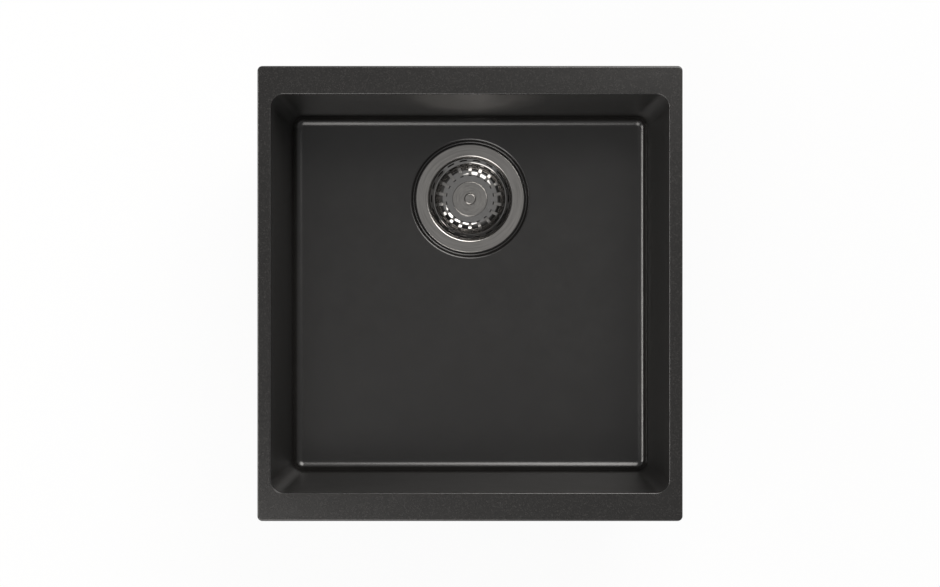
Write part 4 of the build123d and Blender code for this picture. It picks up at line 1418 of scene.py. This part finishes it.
class SINK_OT_clips(Operator):
    """Make the pads and the threaded screws of the clips, and finish their brackets and claws"""

    bl_idname = "sink.clips"
    bl_label = "Fixing clips"

    def screws(self, sizes):
        """Clip screws, head down, between the ears of their brackets."""
        for name in CLIP_NAMES:
            node = f"clip_screw_{name}"
            seat = bottom(node) + sizes.head_height
            drop = top(node) - sizes.end_height - seat
            grid = bolt(
                sizes.head, sizes.head_height, sizes.screw, drop, sizes.screw_pitch, sizes.screw_depth,
                sizes.end, sizes.end_height,
            )
            place = (*middle(node)[:2], seat)
            points, faces = copies(*capped(grid), [np.diag((1, -1, -1))], [place])
            piece = make_piece(f"threaded_screw_{name}", points, faces, finish_of("zinc"))
            seat_piece(piece, f"screw_{name}", "zinc_steel", node)

    def fixings(self, sizes):
        """Pads on the walls, and two fixing screws through every bracket into its pad."""
        corners = [(0, -sizes.pad_depth), (0, 0), (PAD_LEAD * sizes.pad_edge, 0)]
        inset, out = bent_path(corners, [sizes.pad_edge], PAD_EDGE_POINTS).T
        ring = rounded_ring(NO_SIDE_POINTS, PAD_CORNER_POINTS)
        half_width, half_height = sizes.pad_width / 2 - inset, sizes.pad_height / 2 - inset
        pad = raised(on_ring(ring, half_width, half_height, sizes.pad_corner - inset), out)
        fixing = bolt(
            sizes.fixing_head, sizes.fixing_head_height, sizes.fixing, sizes.fixing_length,
            sizes.fixing_pitch, sizes.fixing_depth, sizes.fixing - sizes.fixing_depth, sizes.fixing_depth,
        )
        turns, pad_places, screw_places = [], [], []
        for name in CLIP_NAMES:
            low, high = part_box(f"clip_bracket_{name}")
            side = np.sign(low.y)
            face = side * min(abs(low.y), abs(high.y))
            x = (low.x + high.x) / 2
            turns.append(wall_turn(side))
            pad_places.append((x, face, high.z + sizes.pad_rise - sizes.pad_height / 2))
            seat = side * (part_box("clip_fixing_screws")[1].y - sizes.fixing_head_height)
            height = middle("clip_fixing_screws")[2]
            for across in (-sizes.fixing_spread / 2, sizes.fixing_spread / 2):
                screw_places.append((x + across, seat, height))
        points, faces = copies(*capped(pad), turns, pad_places)
        piece = make_piece("granite_pads", points, faces, finish_of("granite"))
        seat_piece(piece, "sink", "granite", "sink_bowl")
        points, faces = copies(*capped(fixing), np.repeat(turns, 2, axis=0), screw_places)
        piece = make_piece("fixing_bolts", points, faces, finish_of("zinc"))
        seat_piece(piece, "sink", "zinc_steel", "clip_fixing_screws")

    def execute(self, context):
        sizes = context.scene.sink_clips
        self.screws(sizes)
        self.fixings(sizes)
        for name in CLIP_NAMES:
            finish_nodes("zinc", f"clip_bracket_{name}", f"clip_claw_{name}")
        finish_nodes("brass", "clip_inserts")
        return {"FINISHED"}


FLOOR_COLUMNS = 96
FLOOR_CENTRE = 0.02


class SINK_OT_stage(Operator):
    """Make the floor, the lamps, the room's light and the camera"""

    bl_idname = "sink.stage"
    bl_label = "Stage"

    def floor(self, settings):
        """White floor that turns up into a backdrop: a bent run carried round the upright axis."""
        finish = Finish("floor")
        seen = finish.node("ShaderNodeLightPath").outputs
        white = Value(finish, seen["Is Camera Ray"])
        white = white.math("MAXIMUM", white, Value(finish, seen["Is Glossy Ray"]))
        white = white.math("MAXIMUM", white, Value(finish, seen["Is Transmission Ray"]))
        tint = (*settings.floor_colour, 1)
        glow = finish.node("ShaderNodeEmission", None, {"Color": tint, "Strength": 1.0}).outputs[0]
        matt = finish.node("ShaderNodeBsdfDiffuse", None, {"Color": tint}).outputs[0]
        sockets = {0: white * settings.floor_glow, 1: matt, 2: glow}
        mixed = finish.node("ShaderNodeMixShader", None, sockets)
        finish.node("ShaderNodeOutputMaterial", None, {"Surface": mixed.outputs[0]})
        finish.material.cycles.emission_sampling = "NONE"
        level = CAD_BOX[0].z - settings.floor_gap
        wall = settings.floor_radius + settings.cove
        corners = [(FLOOR_CENTRE, level), (wall, level), (wall, level + settings.backdrop)]
        profile = bent_path(corners, [settings.cove])
        points = carried_round(profile[::-1], (0, 0), FLOOR_COLUMNS).reshape(-1, 3)
        centre = (np.arange(FLOOR_COLUMNS) + (len(profile) - 1) * FLOOR_COLUMNS)[None]
        faces = [grid_quads(len(profile), FLOOR_COLUMNS), centre]
        floor = make_piece("floor", points, faces, finish.material)

    def lamps(self, settings):
        """Soft boxes at their azimuth from +X and their angle from the zenith, facing the bowl."""
        for name in ("front", "back", "left"):
            data = bpy.data.lights.new(f"{name}_light", "AREA")
            data.shape = "RECTANGLE"
            data.size, data.size_y = getattr(settings, f"{name}_size")
            data.energy = getattr(settings, f"{name}_power")
            data.color = settings.lamp_colour
            turn, lean = getattr(settings, f"{name}_angles")
            light = bpy.data.objects.new(f"{name}_light", data)
            light.location = (
                settings.light_distance * sin(lean) * cos(turn),
                settings.light_distance * sin(lean) * sin(turn),
                settings.light_distance * cos(lean),
            )
            light.rotation_euler = (lean, 0, turn + pi / 2)
            bpy.context.scene.collection.objects.link(light)

    def room(self, settings):
        """Plain grey light from all round."""
        world = bpy.data.worlds.new("room")
        world.use_nodes = True
        world.node_tree.nodes["Background"].inputs["Color"].default_value = (1, 1, 1, 1)
        world.node_tree.nodes["Background"].inputs["Strength"].default_value = settings.room
        bpy.context.scene.world = world

    def camera(self, settings):
        """Camera straight above the bowl's middle, with the back at the picture's top."""
        data = bpy.data.cameras.new("camera")
        data.lens = data.sensor_width / 2 / tan(settings.field / 2)
        data.clip_end = settings.camera_reach
        camera = bpy.data.objects.new("camera", data)
        camera.location = (0, 0, CAD_BOX[1].z + settings.camera_height)
        bpy.context.scene.collection.objects.link(camera)
        bpy.context.scene.camera = camera

    def execute(self, context):
        settings = context.scene.sink_stage
        context.scene.view_settings.view_transform = "Standard"
        self.floor(settings)
        self.lamps(settings)
        self.room(settings)
        self.camera(settings)
        return {"FINISHED"}


STEPS = ("bowl", "strainer", "basket", "waste", "clips", "stage")


class SINK_PT_panel(Panel):
    """Sidebar panel with one button for each step"""

    bl_idname = "SINK_PT_panel"
    bl_label = "Granite sink"
    bl_space_type = "VIEW_3D"
    bl_region_type = "UI"
    bl_category = "Sink"

    def draw(self, context):
        for step in STEPS:
            self.layout.operator(f"sink.{step}")


GROUPS = {
    "sink_bowl": BowlSizes,
    "sink_strainer": StrainerSizes,
    "sink_basket": BasketSizes,
    "sink_waste": WasteSizes,
    "sink_clips": ClipSizes,
    "sink_finishes": FinishSettings,
    "sink_stage": StageSettings,
}
OPERATORS = (SINK_OT_bowl, SINK_OT_strainer, SINK_OT_basket, SINK_OT_waste, SINK_OT_clips, SINK_OT_stage)


def register():
    """Registers the classes and hangs their settings on the scene."""
    for cls in (*GROUPS.values(), *OPERATORS, SINK_PT_panel):
        bpy.utils.register_class(cls)
    for name, group in GROUPS.items():
        setattr(bpy.types.Scene, name, PointerProperty(type=group))


def unregister():
    """Takes the settings off the scene and the classes out again."""
    for name in GROUPS:
        delattr(bpy.types.Scene, name)
    for cls in (SINK_PT_panel, *reversed(OPERATORS), *reversed(GROUPS.values())):
        bpy.utils.unregister_class(cls)


def main():
    """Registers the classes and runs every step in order."""
    register()
    for step in STEPS:
        getattr(bpy.ops.sink, step)()


if __name__ == "__main__":
    main()
